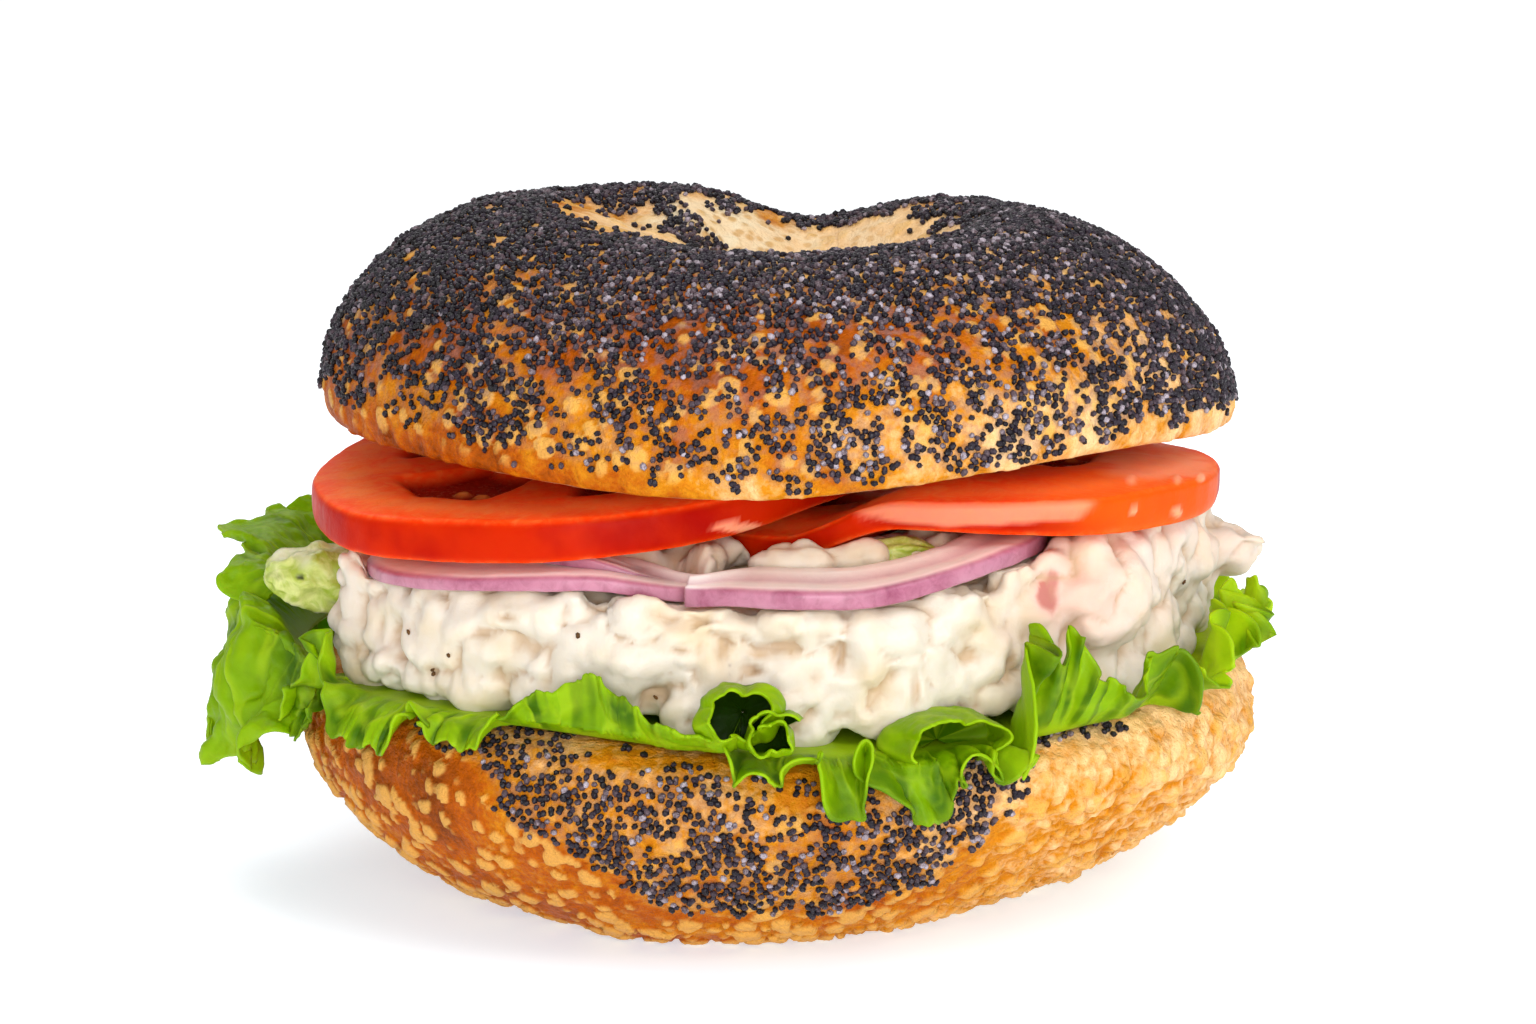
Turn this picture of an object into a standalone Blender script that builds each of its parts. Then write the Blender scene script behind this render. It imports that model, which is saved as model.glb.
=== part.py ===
"""A poppy-seed bagel sandwich, built as the real one is stacked.

From the bottom up: the lower bagel half, frilly lettuce leaves, a mound of chicken salad with
celery, half rings of red onion, three tomato slices, and the upper bagel half.
Sizes are in millimetres and are scaled to metres when each mesh is made. The front looks along -Y.
Angles round the stack are in degrees, counted from +X towards +Y, so -90 is the front.
"""

import math

import bmesh
import bpy
import numpy as np

MM = 0.001

# Where the stack stands, so that the middle of its whole outline is over the origin
STACK_X = 4.8
STACK_Y = -0.2

# Lower bagel half
LOWER_X = 1.0
LOWER_RADIUS = 60.3
LOWER_WIDEST_Z = 20.0
LOWER_CUT_RADIUS = 54.0
LOWER_CUT_Z = 27.0
LOWER_FOOT_RADIUS = 36.0
LOWER_FOOT_INNER = 20.0
LOWER_HOLE_RADIUS = 8.0
LOWER_FACE_RADII = (38.0, 22.0)
SHOULDER_SQUARENESS = 2.1

# Upper bagel half
UPPER_X = 1.7
UPPER_RADIUS = 57.1
UPPER_CUT_Z = 57.0
UPPER_CREST_RADIUS = 30.0
UPPER_CREST_Z = 83.3
UPPER_HOLE_RADIUS = 8.0
UPPER_HOLE_SHIFT = (3.0, 1.0)
UPPER_FACE_RADII = (22.0, 36.0, 48.0)
UPPER_BAND = 3.0
FUNNEL_FOOT_Z = 66.0
FUNNEL_SQUARENESS = 1.7

# Poppy seeds
SEED_LENGTH, SEED_WIDTH, SEED_HEIGHT = 1.3, 1.0, 0.9
UPPER_SEEDS = 58
LOWER_SEEDS = 20
LOWER_SEED_SPREAD = 62.0
# Steps that never repeat, which spread the seeds evenly
GOLDEN_STEP, PLASTIC_STEP = 0.618034, 0.754878

# Lettuce
LEAF_THICKNESS = 0.6
LEAF_LIFT = 0.95
LEAF_INNER_RADIUS = 34.0
LEAF_FOLD_RADIUS = 57.6

# Chicken salad
SALAD_LIFT = 2.3
SALAD_TALLEST_Z = 50.0
SALAD_CLEARANCE = 0.7
COVER_MARGIN = 4.5
LUMPS_IN_ROW = 12
LUMP_ROWS = (0.3, 0.7)
LUMP_LENGTH, LUMP_DEPTH = 12.8, 6.4
LUMP_SHARE_OF_HEIGHT = 0.27
LUMP_BARE_ANGLE, LUMP_BARE_WIDTH = 190, 12

# The largest chunks of the salad: centre, half sizes with the shortest last, and facing
SALAD_LARGEST = (
    ((37.5, -36.5, 41.0), (7.8, 7.0, 6.0), (0.7, -0.7, 0.2)),
    ((53.5, 2.0, 40.2), (9.5, 6.5, 4.4), (0.1, 0, 1)),
    ((15.0, -40.0, 42.0), (4.4, 2.6, 3.0), (0, 0, 1)),
)

# Each tomato slice: centre x and y, radius and thickness
TOMATO_LEFT = (-21.5, -17.0, 34.3, 4.4)
TOMATO_RIGHT = (21.2, -12.5, 34.2, 4.0)
TOMATO_BACK = (-2.0, 38.5, 19.3, 3.8)
TOMATO_HOLLOW = 1.1

# Each half ring of onion: centre x and y, outer radius, first and last angle
ONION_LEFT = (-20.0, -24.0, 28.0, -195.0, -68.0)
ONION_RIGHT = (6.0, -30.0, 27.0, -121.0, 12.0)
ONION_BACK = (2.0, 22.0, 29.0, 20.0, 160.0)
ONION_WIDTH = 8.5
ONION_THICKNESS = 2.2

# A leaf's edge: angle round the stack, upward tilt in degrees, and reach past the fold
FRONT_EDGE = (
    (-152, 30, 5.5),
    (-145, 58, 7.5),
    (-135, -25, 7.0),
    (-127, 42, 6.5),
    (-122, -5, 5.5),
    (-118, 25, 6.0),
    (-109, 68, 9.6),
    (-99, -5, 8.0),
    (-95, -8, 7.5),
    (-91, 66, 9.0),
    (-87, -10, 7.0),
    (-84.5, 30, 7.0),
    (-81.5, -32, 7.5),
    (-78, 14, 7.0),
    (-74.3, -52, 8.5),
    (-69, 32, 7.5),
    (-64.5, -18, 7.0),
    (-59, 76, 12.0),
    (-53, 28, 8.0),
    (-45, 62, 9.5),
    (-40, 8, 6.5),
)
RIGHT_EDGE = (
    (-36.5, 35, 7.0),
    (-33, 12, 7.0),
    (-28, 72, 9.5),
    (-23, 45, 9.0),
    (-18.5, 74, 10.0),
    (-13, 38, 7.0),
    (-8.5, 68, 9.0),
    (-3, 8, 4.8),
    (4, -10, 4.8),
    (10, 25, 5.8),
    (15.5, -22, 6.5),
    (22, 55, 8.5),
    (30, -30, 7.5),
    (38, 50, 8.5),
    (46, -10, 7.0),
)
BACK_EDGE = (
    (50, 10, 6.5),
    (58, 58, 8.5),
    (66, -35, 7.5),
    (73, 45, 8.0),
    (82, -25, 7.0),
    (92, 62, 9.0),
    (102, -45, 8.0),
    (110, 35, 7.0),
    (117, -15, 7.0),
    (127, 60, 8.5),
    (137, -35, 8.0),
    (146, 20, 6.5),
)


def lobe(angle, centre, width):
    """A smooth bump of height 1 in the direction centre, width degrees to each side."""
    return np.exp((np.cos(angle - math.radians(centre)) - 1) / math.radians(width) ** 2)


def ease(value):
    """0 below 0, 1 above 1, and a smooth S between them."""
    t = np.clip(value, 0, 1)
    return t * t * (3 - 2 * t)


def soft_ramp(value, softness):
    """0 for negative values and the value itself for positive ones, with a soft bend between."""
    return softness * np.logaddexp(0, value / softness)


def same_all_round(values, angle):
    """One row of values for each angle in the column."""
    return np.array([values]) + 0 * angle


def quarter(steps, squareness):
    """Cosine-like and sine-like numbers along a quarter of a rounded square."""
    a = np.linspace(0, math.pi / 2, steps + 1)
    power = 2 / squareness
    return np.cos(a).clip(0) ** power, np.sin(a).clip(0) ** power


def eased_keys(angle, keys, column):
    """The column's value at each angle, held near each key and eased from one to the next."""
    centres = [math.radians(key[0]) for key in keys]
    place = np.interp(angle, centres, np.arange(len(keys)))
    low = np.minimum(place.astype(int), len(keys) - 2)
    values = np.array([key[column] for key in keys], float)
    return values[low] + (values[low + 1] - values[low]) * ease(1.3 * (place - low) - 0.15)


# Heights that neighbouring pieces share


def lower_cut(x, y):
    """Height of the lower half's cut face, which is higher at the right and the left front."""
    angle = np.arctan2(y, x)
    rim = 3.0 * lobe(angle, 0, 35) + 1.5 * lobe(angle, -130, 20) - 2.2 * lobe(angle, -75, 30)
    return LOWER_CUT_Z + (np.hypot(x, y) / LOWER_RADIUS) ** 2 * rim


def upper_cut(x, y):
    """Height of the upper half's cut face, whose rim sags at the front and lifts at its right."""
    angle = np.arctan2(y, x)
    rim = 0.8 - 2.4 * lobe(angle, -97, 22) + 1.2 * lobe(angle, -45, 22) - lobe(angle, 5, 25)
    return UPPER_CUT_Z + (np.hypot(x, y) / UPPER_RADIUS) ** 3 * rim


def tomato_left_middle(x, y):
    """Mid height of the left slice: level under the bread, drooping at its front left."""
    return 54.3 - 0.145 * soft_ramp(-0.642 * x - 0.767 * y - 21, 5)


def tomato_right_middle(x, y):
    """Mid height of the right slice, whose left end dips under the other slice."""
    return 52.6 - 5.1 * ease((-0.85 * x + 0.53 * y + 37) / 16)


def tomato_back_middle(x, y):
    """Mid height of the small slice at the back, leaning outwards a little."""
    return 53.4 - 0.03 * y + 0 * x


def onion_left_middle(x, y):
    return 44.5 - 0.6 * ease((x + 24) / 12) + 0 * y


def onion_right_middle(x, y):
    return 43.9 + 3.3 * ease((x - 8) / 24) + 0 * y


def onion_back_middle(x, y):
    return 48.6 + 0 * x + 0 * y


TOMATOES = {
    "tomato_left": (TOMATO_LEFT, tomato_left_middle),
    "tomato_right": (TOMATO_RIGHT, tomato_right_middle),
    "tomato_back": (TOMATO_BACK, tomato_back_middle),
}
ONIONS = {
    "onion_left": (ONION_LEFT, onion_left_middle),
    "onion_right": (ONION_RIGHT, onion_right_middle),
    "onion_back": (ONION_BACK, onion_back_middle),
}


def salad_lid(x, y, margin):
    """Lowest underside of what lies over the salad within margin of the point."""
    past_end = 28
    lid = upper_cut(x, y)
    for (cx, cy, radius, thickness), middle in TOMATOES.values():
        inside = np.hypot(x - cx, y - cy) < radius + margin
        lid = np.where(inside, np.minimum(lid, middle(x, y) - thickness / 2), lid)
    for (cx, cy, radius, first, last), middle in ONIONS.values():
        away = np.hypot(x - cx, y - cy)
        turn = np.degrees(np.arctan2(y - cy, x - cx))
        turn = first + (turn - first + 2 * past_end) % 360 - 2 * past_end
        banded = (away < radius + margin) & (away > radius - ONION_WIDTH - margin)
        inside = banded & (turn > first - past_end) & (turn < last + past_end)
        lid = np.where(inside, np.minimum(lid, middle(x, y) - ONION_THICKNESS / 2), lid)
    return lid


def salad_roof(x, y, margin):
    """How high the salad may rise there, judged by the lowest cover within a few millimetres."""
    roof = np.minimum(salad_lid(x, y, margin), SALAD_TALLEST_Z)
    for turn in np.linspace(0, 2 * math.pi, 8, endpoint=False):
        near_x, near_y = x + COVER_MARGIN * math.cos(turn), y + COVER_MARGIN * math.sin(turn)
        roof = np.minimum(roof, salad_lid(near_x, near_y, margin))
    return roof - SALAD_CLEARANCE


# Making objects


def material(name, colour, roughness):
    made = bpy.data.materials.new(name)
    made.use_nodes = True
    shader = made.node_tree.nodes["Principled BSDF"]
    shader.inputs["Base Color"].default_value = (*colour, 1)
    shader.inputs["Roughness"].default_value = roughness
    shader.inputs["Metallic"].default_value = 0.0
    return made


def add_mesh(name, points, faces, finish, stack):
    """A closed mesh in the scene, scaled from millimetres and standing on the stack's empty."""
    mesh = bpy.data.meshes.new(name)
    mesh.from_pydata((np.asarray(points) * MM).tolist(), [], faces)
    mesh.materials.append(finish)
    mesh.shade_smooth()
    mesh.set_sharp_from_angle(angle=math.radians(50))
    made = bpy.data.objects.new(name, mesh)
    bpy.context.scene.collection.objects.link(made)
    made.parent = stack
    return made


def ring_faces(around, along):
    """Quads of a grid that closes both ways, as on a ring."""
    faces = []
    for i in range(around):
        for j in range(along):
            k, m = (i + 1) % around, (j + 1) % along
            faces.append((i * along + j, k * along + j, k * along + m, i * along + m))
    return faces


def capped_faces(around, along):
    """Faces of a grid that closes one way, with a point at each end of the other way."""
    first, last = around * along, around * along + 1
    faces = []
    for i in range(around):
        k = (i + 1) % around
        faces.append((first, k * along, i * along))
        for j in range(along - 1):
            faces.append((i * along + j, k * along + j, k * along + j + 1, i * along + j + 1))
        faces.append((i * along + along - 1, k * along + along - 1, last))
    return faces


def join_scattered(target, scattered):
    """Fuses scattered closed meshes to the target with one union, and removes them."""
    group = bpy.data.collections.new("scattered")
    bpy.context.scene.collection.children.link(group)
    for piece in scattered:
        group.objects.link(piece)
        bpy.context.scene.collection.objects.unlink(piece)
    union = target.modifiers.new("union", "BOOLEAN")
    union.operation = "UNION"
    union.solver = "EXACT"
    union.operand_type = "COLLECTION"
    union.collection = group
    bpy.context.view_layer.update()
    graph = bpy.context.evaluated_depsgraph_get()
    fused = bpy.data.meshes.new_from_object(target.evaluated_get(graph))
    target.modifiers.clear()
    target.data = fused
    for piece in scattered:
        bpy.data.objects.remove(piece)
    bpy.data.collections.remove(group)


def pebble(name, centre, half_sizes, facing, along, finish, stack, subdivisions, roughness=0.0):
    """A rounded grain: its longest way lies along the one direction, its shortest along facing."""
    shape = bmesh.new()
    bmesh.ops.create_icosphere(shape, subdivisions=subdivisions, radius=1)
    points = np.array([vertex.co for vertex in shape.verts])
    faces = [[vertex.index for vertex in face.verts] for face in shape.faces]
    shape.free()
    phase = float(np.sum(centre))
    wave = np.sin(points @ (3.1, 1.7, 2.3) + phase) * np.cos(points @ (1.3, 3.7, 2.9) + phase)
    points = points * (1 + roughness * wave)[:, None] * half_sizes
    up = np.array(facing) / np.linalg.norm(facing)
    across = np.cross(up, along)
    across /= np.linalg.norm(across)
    turned = points @ np.array([np.cross(across, up), across, up])
    return add_mesh(name, turned + centre, faces, finish, stack)


# Bagel halves


def lower_widest(angle):
    return LOWER_RADIUS + 0.7 * np.sin(3 * angle + 1) + 0.5 * np.sin(5 * angle) - lobe(angle, 0, 20)


def lower_foot(angle):
    """Radius of the flat foot, which is smaller where the half is lifted at the front right."""
    return LOWER_FOOT_RADIUS + 2.5 * lobe(angle, -95, 22) - 4 * lobe(angle, -45, 30)


def lower_squareness(angle):
    return 1.55 - 0.3 * lobe(angle, -48, 26)


def lower_section(angle):
    """Distance from the middle and height of the lower half's section, for each angle."""
    angle = angle[:, None]
    radius = lower_widest(angle)
    x, y = np.cos(angle), np.sin(angle)
    cut = lower_cut(LOWER_CUT_RADIUS * x, LOWER_CUT_RADIUS * y)
    foot = lower_foot(angle)
    out, rise = quarter(4, lower_squareness(angle))
    under_r = foot + (radius - foot) * rise
    under_z = LOWER_WIDEST_Z * (1 - out) + 0 * angle
    out, rise = quarter(4, SHOULDER_SQUARENESS)
    shoulder_r = LOWER_CUT_RADIUS + (radius - LOWER_CUT_RADIUS) * out
    shoulder_z = LOWER_WIDEST_Z + (cut - LOWER_WIDEST_Z) * rise
    hole = LOWER_HOLE_RADIUS
    face_r = same_all_round([*LOWER_FACE_RADII, hole + 1], angle)
    face_z = lower_cut(face_r * x, face_r * y)
    # Down the hole, out to its flare and to the inner edge of the foot
    inside_r = same_all_round([hole, hole, hole + 4, LOWER_FOOT_INNER], angle)
    inside_z = same_all_round([LOWER_CUT_Z - 1.5, 8.0, 2.0, 0.0], angle)
    r = np.hstack([under_r, shoulder_r[:, 1:], face_r, inside_r])
    z = np.hstack([under_z, shoulder_z[:, 1:], face_z, inside_z])
    return r, z


def lower_crust(angle, way):
    """A point on the lower half's side: way runs from 0 at the foot to 1 at the widest."""
    foot = lower_foot(angle)
    power = 2 / lower_squareness(angle)
    r = foot + (lower_widest(angle) - foot) * np.sin(way * math.pi / 2) ** power
    z = LOWER_WIDEST_Z * (1 - np.cos(way * math.pi / 2) ** power)
    return np.array([LOWER_X + r * np.cos(angle), r * np.sin(angle), z])


def make_lower_half(crust, seed, stack):
    around = 52
    angle = np.linspace(0, 2 * math.pi, around, endpoint=False)
    r, z = lower_section(angle)
    points = np.stack([r * np.cos(angle)[:, None] + LOWER_X, r * np.sin(angle)[:, None], z], axis=2)
    half = add_mesh("bagel_bottom", points.reshape(-1, 3), ring_faces(around, r.shape[1]), crust, stack)
    spots = []
    for i in range(LOWER_SEEDS):
        turn = -90 + LOWER_SEED_SPREAD * ((i * GOLDEN_STEP) % 1 - 0.5)
        spots.append((math.radians(turn), 0.42 + 0.5 * ((i * PLASTIC_STEP) % 1)))
    sow(half, lower_crust, spots, seed, stack)


def upper_crest(angle):
    """Height of the upper half's crest: low at the front, with a dip at the back."""
    return (
        UPPER_CREST_Z
        - 2.4 * lobe(angle, -90, 45)
        + 1.7 * lobe(angle, 165, 40)
        - 4.0 * lobe(angle, 82, 15)
        - 0.5 * lobe(angle, 35, 30)
    )


def upper_dimple(x, y):
    """The hollow beside the hole at its left, and the ridge between the two."""
    hollow = 3.2 * np.exp(-(((x + 20) / 7) ** 2) - ((y - 12) / 9) ** 2)
    ridge = 1.6 * np.exp(-(((x + 11) / 3) ** 2) - ((y - 15) / 9) ** 2)
    return ridge - hollow


def upper_widest(angle):
    uneven = 0.5 * np.sin(3 * angle) + 0.4 * np.sin(4 * angle + 2)
    return UPPER_RADIUS + uneven - 1.1 * lobe(angle, 0, 30) - 0.4 * lobe(angle, 180, 30)


def upper_squareness(angle):
    return 2.15 - 0.42 * lobe(angle, 0, 42) - 0.12 * lobe(angle, 180, 40)


def upper_section(angle):
    """Distance from the middle and height of the upper half's section, for each angle."""
    angle = angle[:, None]
    x, y = np.cos(angle), np.sin(angle)
    radius = upper_widest(angle)
    rim = upper_cut(radius * x, radius * y)
    crest = upper_crest(angle)
    out, rise = quarter(6, upper_squareness(angle))
    dome_r = UPPER_CREST_RADIUS + (radius - UPPER_CREST_RADIUS) * out
    dome_z = rim + UPPER_BAND + (crest - rim - UPPER_BAND) * rise
    out, rise = quarter(4, FUNNEL_SQUARENESS)
    inward = (UPPER_CREST_RADIUS - UPPER_HOLE_RADIUS) * out[::-1]
    inner_r = same_all_round(UPPER_CREST_RADIUS - inward, angle)
    inner_z = FUNNEL_FOOT_Z + (crest - FUNNEL_FOOT_Z) * rise[::-1]
    face_r = same_all_round([UPPER_HOLE_RADIUS, *UPPER_FACE_RADII], angle)
    face_z = upper_cut(face_r * x, face_r * y)
    # The cut rim is rounded off a little before the dome begins
    r = np.hstack([radius - 1.4, radius - 0.3, dome_r, inner_r[:, 1:], face_r])
    z = np.hstack([rim, rim + 1.1, dome_z, inner_z[:, 1:], face_z])
    return r, z


def upper_point(angle, r, z):
    """Places a section's point, with the hole's middle moved off the bagel's middle."""
    inward = np.clip((UPPER_CREST_RADIUS - r) / (UPPER_CREST_RADIUS - UPPER_HOLE_RADIUS), 0, 1)
    x = UPPER_X + r * np.cos(angle) + UPPER_HOLE_SHIFT[0] * inward
    y = r * np.sin(angle) + UPPER_HOLE_SHIFT[1] * inward
    above = ease((z - FUNNEL_FOOT_Z + 3) / 12)
    return np.stack([x, y, z + above * upper_dimple(x, y)], axis=-1)


def upper_crust(angle, way):
    """A point on the upper half's dome: way runs from 0 at the widest to 1 at the crest."""
    radius = upper_widest(angle)
    rim = upper_cut(radius * np.cos(angle), radius * np.sin(angle))
    power = 2 / upper_squareness(angle)
    r = UPPER_CREST_RADIUS + (radius - UPPER_CREST_RADIUS) * np.cos(way * math.pi / 2) ** power
    low = rim + UPPER_BAND
    z = low + (upper_crest(angle) - low) * np.sin(way * math.pi / 2) ** power
    return upper_point(angle, r, z)


def sow(half, surface, spots, finish, stack):
    """Fuses poppy seeds to the half at the given angles and ways up, each sunk by a third."""
    bpy.context.view_layer.update()
    grains = []
    for i, (angle, way) in enumerate(spots):
        _, at, facing, _ = half.closest_point_on_mesh((surface(angle, way) * MM).tolist())
        size = 0.5 * np.array([SEED_LENGTH, SEED_WIDTH, SEED_HEIGHT]) * (1 + 0.1 * math.sin(i * 2.4))
        centre = np.array(at) / MM + np.array(facing) * 0.1
        along = (math.cos(1.9 * i), math.sin(1.9 * i), 0.31)
        grains.append(pebble(f"grain{i}", centre, size, facing, along, finish, stack, 1))
    join_scattered(half, grains)


def make_upper_half(crust, seed, stack):
    around = 56
    angle = np.linspace(0, 2 * math.pi, around, endpoint=False)
    r, z = upper_section(angle)
    points = upper_point(angle[:, None] + 0 * r, r, z)
    half = add_mesh("bagel_top", points.reshape(-1, 3), ring_faces(around, r.shape[1]), crust, stack)
    spots = []
    for i in range(UPPER_SEEDS):
        turn = 2 * math.pi * ((i * GOLDEN_STEP) % 1)
        spots.append((turn, 0.1 + 0.86 * ((i * PLASTIC_STEP) % 1)))
    sow(half, upper_crust, spots, seed, stack)


# Tomato, onion and celery


def make_tomato(name, around, finish, stack):
    """A slice: two faces over one mid height, a bulging skin, and seed hollows in the top face."""
    (cx, cy, radius, thickness), middle = TOMATOES[name]
    half = thickness / 2
    angle = np.linspace(0, 2 * math.pi, around, endpoint=False)[:, None]
    # Share of the radius and of the half thickness, from the top's middle round to the bottom's
    reach = np.array([[0.3, 0.56, 0.76, 0.97, 1.0, 0.97, 0.5]])
    level = np.array([[1.0, 1.0, 1.0, 0.92, 0.0, -0.92, -1.0]])
    outline = radius * (1 - 0.012 + 0.012 * np.cos(5 * angle))
    r = outline * reach
    x, y = cx + r * np.cos(angle), cy + r * np.sin(angle)
    hollows = (0.5 + 0.5 * np.cos(4 * angle)) * (reach > 0.5) * (reach < 0.8) * (level > 0.95)
    z = middle(x, y) + half * level - TOMATO_HOLLOW * hollows
    points = np.stack([x, y, z], axis=2).reshape(-1, 3)
    poles = np.array([[cx, cy, middle(cx, cy) + half], [cx, cy, middle(cx, cy) - half]])
    faces = [tuple(reversed(face)) for face in capped_faces(around, reach.shape[1])]
    add_mesh(name, np.vstack([points, poles]), faces, finish, stack)


def make_onion(name, finish, stack):
    """A half ring with a shallow groove between its two layers, and square cut ends."""
    (cx, cy, radius, first, last), middle = ONIONS[name]
    steps = 15
    angle = np.radians(np.linspace(first, last, steps))[:, None]
    half = ONION_THICKNESS / 2
    # Distance in from the outer skin and height, round the section
    inset = np.array([[0.0, 0.5, ONION_WIDTH * 0.5, ONION_WIDTH, ONION_WIDTH, 0.5]])
    level = np.array([[0.0, half, half - 0.4, half, -half, -half]])
    r = radius - inset
    x, y = cx + r * np.cos(angle), cy + r * np.sin(angle)
    points = np.stack([x, y, middle(x, y) + level], axis=2).reshape(-1, 3)
    count = inset.shape[1]
    faces = []
    for i in range(steps - 1):
        for j in range(count):
            m = (j + 1) % count
            faces.append((i * count + j, (i + 1) * count + j, (i + 1) * count + m, i * count + m))
    faces.append(tuple(range(count)))
    faces.append(tuple((steps - 1) * count + j for j in reversed(range(count))))
    add_mesh(name, points, faces, finish, stack)


def make_celery_front(finish, stack):
    centre, size = np.array([15.5, -41.2, 47.2]), np.array([4.6, 2.4, 1.9])
    pebble("celery_front", centre, size, (0, 0, 1), (1, 0.1, 0), finish, stack, 2, 0.05)


def make_celery_left(finish, stack):
    centre, size = np.array([-56.4, -13.0, 38.4]), np.array([5.2, 4.0, 3.4])
    pebble("celery_left", centre, size, (0.4, -1, 0.2), (1, 0.2, -1), finish, stack, 2, 0.12)


# Chicken salad


def salad_reach(angle):
    """How far out the salad's core goes, for each angle."""
    return (
        52.8
        + 2.8 * lobe(angle, -150, 15)
        + 1.4 * lobe(angle, -120, 30)
        + 1.2 * lobe(angle, -75, 25)
        - 1.8 * lobe(angle, 188, 12)
        + 2.0 * lobe(angle, 0, 18)
        - 1.0 * lobe(angle, 90, 40)
    )


def make_salad(finish, stack):
    """A low mound between the leaves and what lies on it, with its lumps fused on."""
    around = 40
    angle = np.linspace(0, 2 * math.pi, around, endpoint=False)[:, None]
    out = salad_reach(angle)
    # Share of the reach, and share of the way up from the underside to the roof
    reach = np.array([[0.4, 0.8, 0.955, 1.0, 1.0, 0.96, 0.87, 0.72, 0.5, 0.25]])
    level = np.array([[0.0, 0.0, 0.05, 0.3, 0.7, 0.94, 1.0, 1.0, 1.0, 1.0]])
    r = out * reach
    x, y = r * np.cos(angle), r * np.sin(angle)
    low = lower_cut(x, y) + SALAD_LIFT
    high = salad_roof(x, y, COVER_MARGIN)
    z = low + (high - low) * level
    points = np.stack([x, y, z], axis=2).reshape(-1, 3)
    poles = np.array([[0, 0, LOWER_CUT_Z + SALAD_LIFT], [0, 0, high[:, -1].min()]])
    faces = capped_faces(around, reach.shape[1])
    salad = add_mesh("salad", np.vstack([points, poles]), faces, finish, stack)
    join_scattered(salad, salad_lumps(finish, stack))


def salad_lumps(finish, stack):
    """Chunks round the side in two staggered rows, and the largest where they are seen to lie."""
    lumps = []
    spread = np.random.default_rng(7)
    for row, share in enumerate(LUMP_ROWS):
        for i in range(LUMPS_IN_ROW):
            degrees = 360 * (i + 0.5 * row) / LUMPS_IN_ROW + spread.uniform(-4, 4)
            scale = 0.5 * spread.uniform(0.85, 1.1)
            if abs((degrees - LUMP_BARE_ANGLE + 180) % 360 - 180) < LUMP_BARE_WIDTH:
                continue
            turn = math.radians(degrees)
            r = float(salad_reach(turn)) - 1.0
            x, y = r * math.cos(turn), r * math.sin(turn)
            low = float(lower_cut(x, y)) + SALAD_LIFT
            high = float(salad_roof(x, y, 3.0))
            centre = np.array([x, y, low + (high - low) * share])
            tall = LUMP_SHARE_OF_HEIGHT * (high - low)
            size = np.array([LUMP_LENGTH * scale, tall, LUMP_DEPTH * scale])
            across = (-math.sin(turn), math.cos(turn), 0.0)
            lumps.append(pebble(f"lump{row}_{i}", centre, size, (x, y, 0), across, finish, stack, 2, 0.1))
    for centre, size, facing in SALAD_LARGEST:
        lumps.append(pebble("large", np.array(centre), size, facing, (1, 0, 0), finish, stack, 2, 0.06))
    return lumps


# Lettuce


def keep_clear(angle, r, z):
    """Moves leaf points out of the lower half's side and of the salad's."""
    room = LEAF_THICKNESS / 2 + 0.9
    widest = LOWER_RADIUS + 1.2
    shoulder = np.clip((z - LOWER_WIDEST_Z) / (LOWER_CUT_Z - LOWER_WIDEST_Z), 0, 1)
    below = np.clip((LOWER_WIDEST_Z - z) / LOWER_WIDEST_Z, 0, 1)
    bread = widest - 5 * (1 - np.sqrt(1 - 0.99 * shoulder**2)) - 24 * below**1.6
    top = lower_cut(LOWER_CUT_RADIUS * np.cos(angle), LOWER_CUT_RADIUS * np.sin(angle))
    r = np.where(z < top + 0.3, np.maximum(r, bread + room), r)
    salad = salad_reach(angle) + LUMP_DEPTH / 2
    return np.where(z > top + SALAD_LIFT, np.maximum(r, salad + room), r)


def leaf_object(name, x, y, z, finish, stack):
    """A thin closed leaf over a grid of points, with both faces cut into triangles alike."""
    across, along = x.shape
    points = np.stack([x, y, z], axis=2).reshape(-1, 3)
    faces = []
    for i in range(across - 1):
        for j in range(along - 1):
            a, b = i * along + j, (i + 1) * along + j
            faces += [(a, b, b + 1), (a, b + 1, a + 1)]
    leaf = add_mesh(name, points, faces, finish, stack)
    skin = leaf.modifiers.new("thickness", "SOLIDIFY")
    skin.thickness = LEAF_THICKNESS * MM
    skin.offset = 0
    skin.use_even_offset = False


def frill_leaf(name, edge, steps, finish, stack):
    """A leaf that lies flat under the salad and whose edge waves up and down past the rim."""
    first, last = math.radians(edge[0][0]), math.radians(edge[-1][0])
    angle = np.linspace(first, last, steps)[:, None]
    tilt = np.radians(eased_keys(angle, edge, 1))
    reach = eased_keys(angle, edge, 2)
    cut = lower_cut(LOWER_CUT_RADIUS * np.cos(angle), LOWER_CUT_RADIUS * np.sin(angle)) + LEAF_LIFT
    # Each strip past the fold leans a little less than the one before it
    way = np.array([[0.0, 0.36, 0.7, 1.0]])
    lean = tilt * (1.2 - 0.2 * (way[:, 1:] + way[:, :-1]))
    strip = reach * np.diff(way)
    past_r = LEAF_FOLD_RADIUS + np.cumsum(strip * np.cos(lean), axis=1)
    past_z = cut + np.cumsum(strip * np.sin(lean), axis=1)
    past_r = keep_clear(angle, past_r, past_z)
    flat_r = np.array([[LEAF_INNER_RADIUS, LOWER_CUT_RADIUS, LEAF_FOLD_RADIUS]]) + 0 * angle
    inner = lower_cut(LEAF_INNER_RADIUS * np.cos(angle), LEAF_INNER_RADIUS * np.sin(angle)) + LEAF_LIFT
    r, z = np.hstack([flat_r, past_r]), np.hstack([inner, cut, cut, past_z])
    leaf_object(name, r * np.cos(angle), r * np.sin(angle), z, finish, stack)


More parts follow.
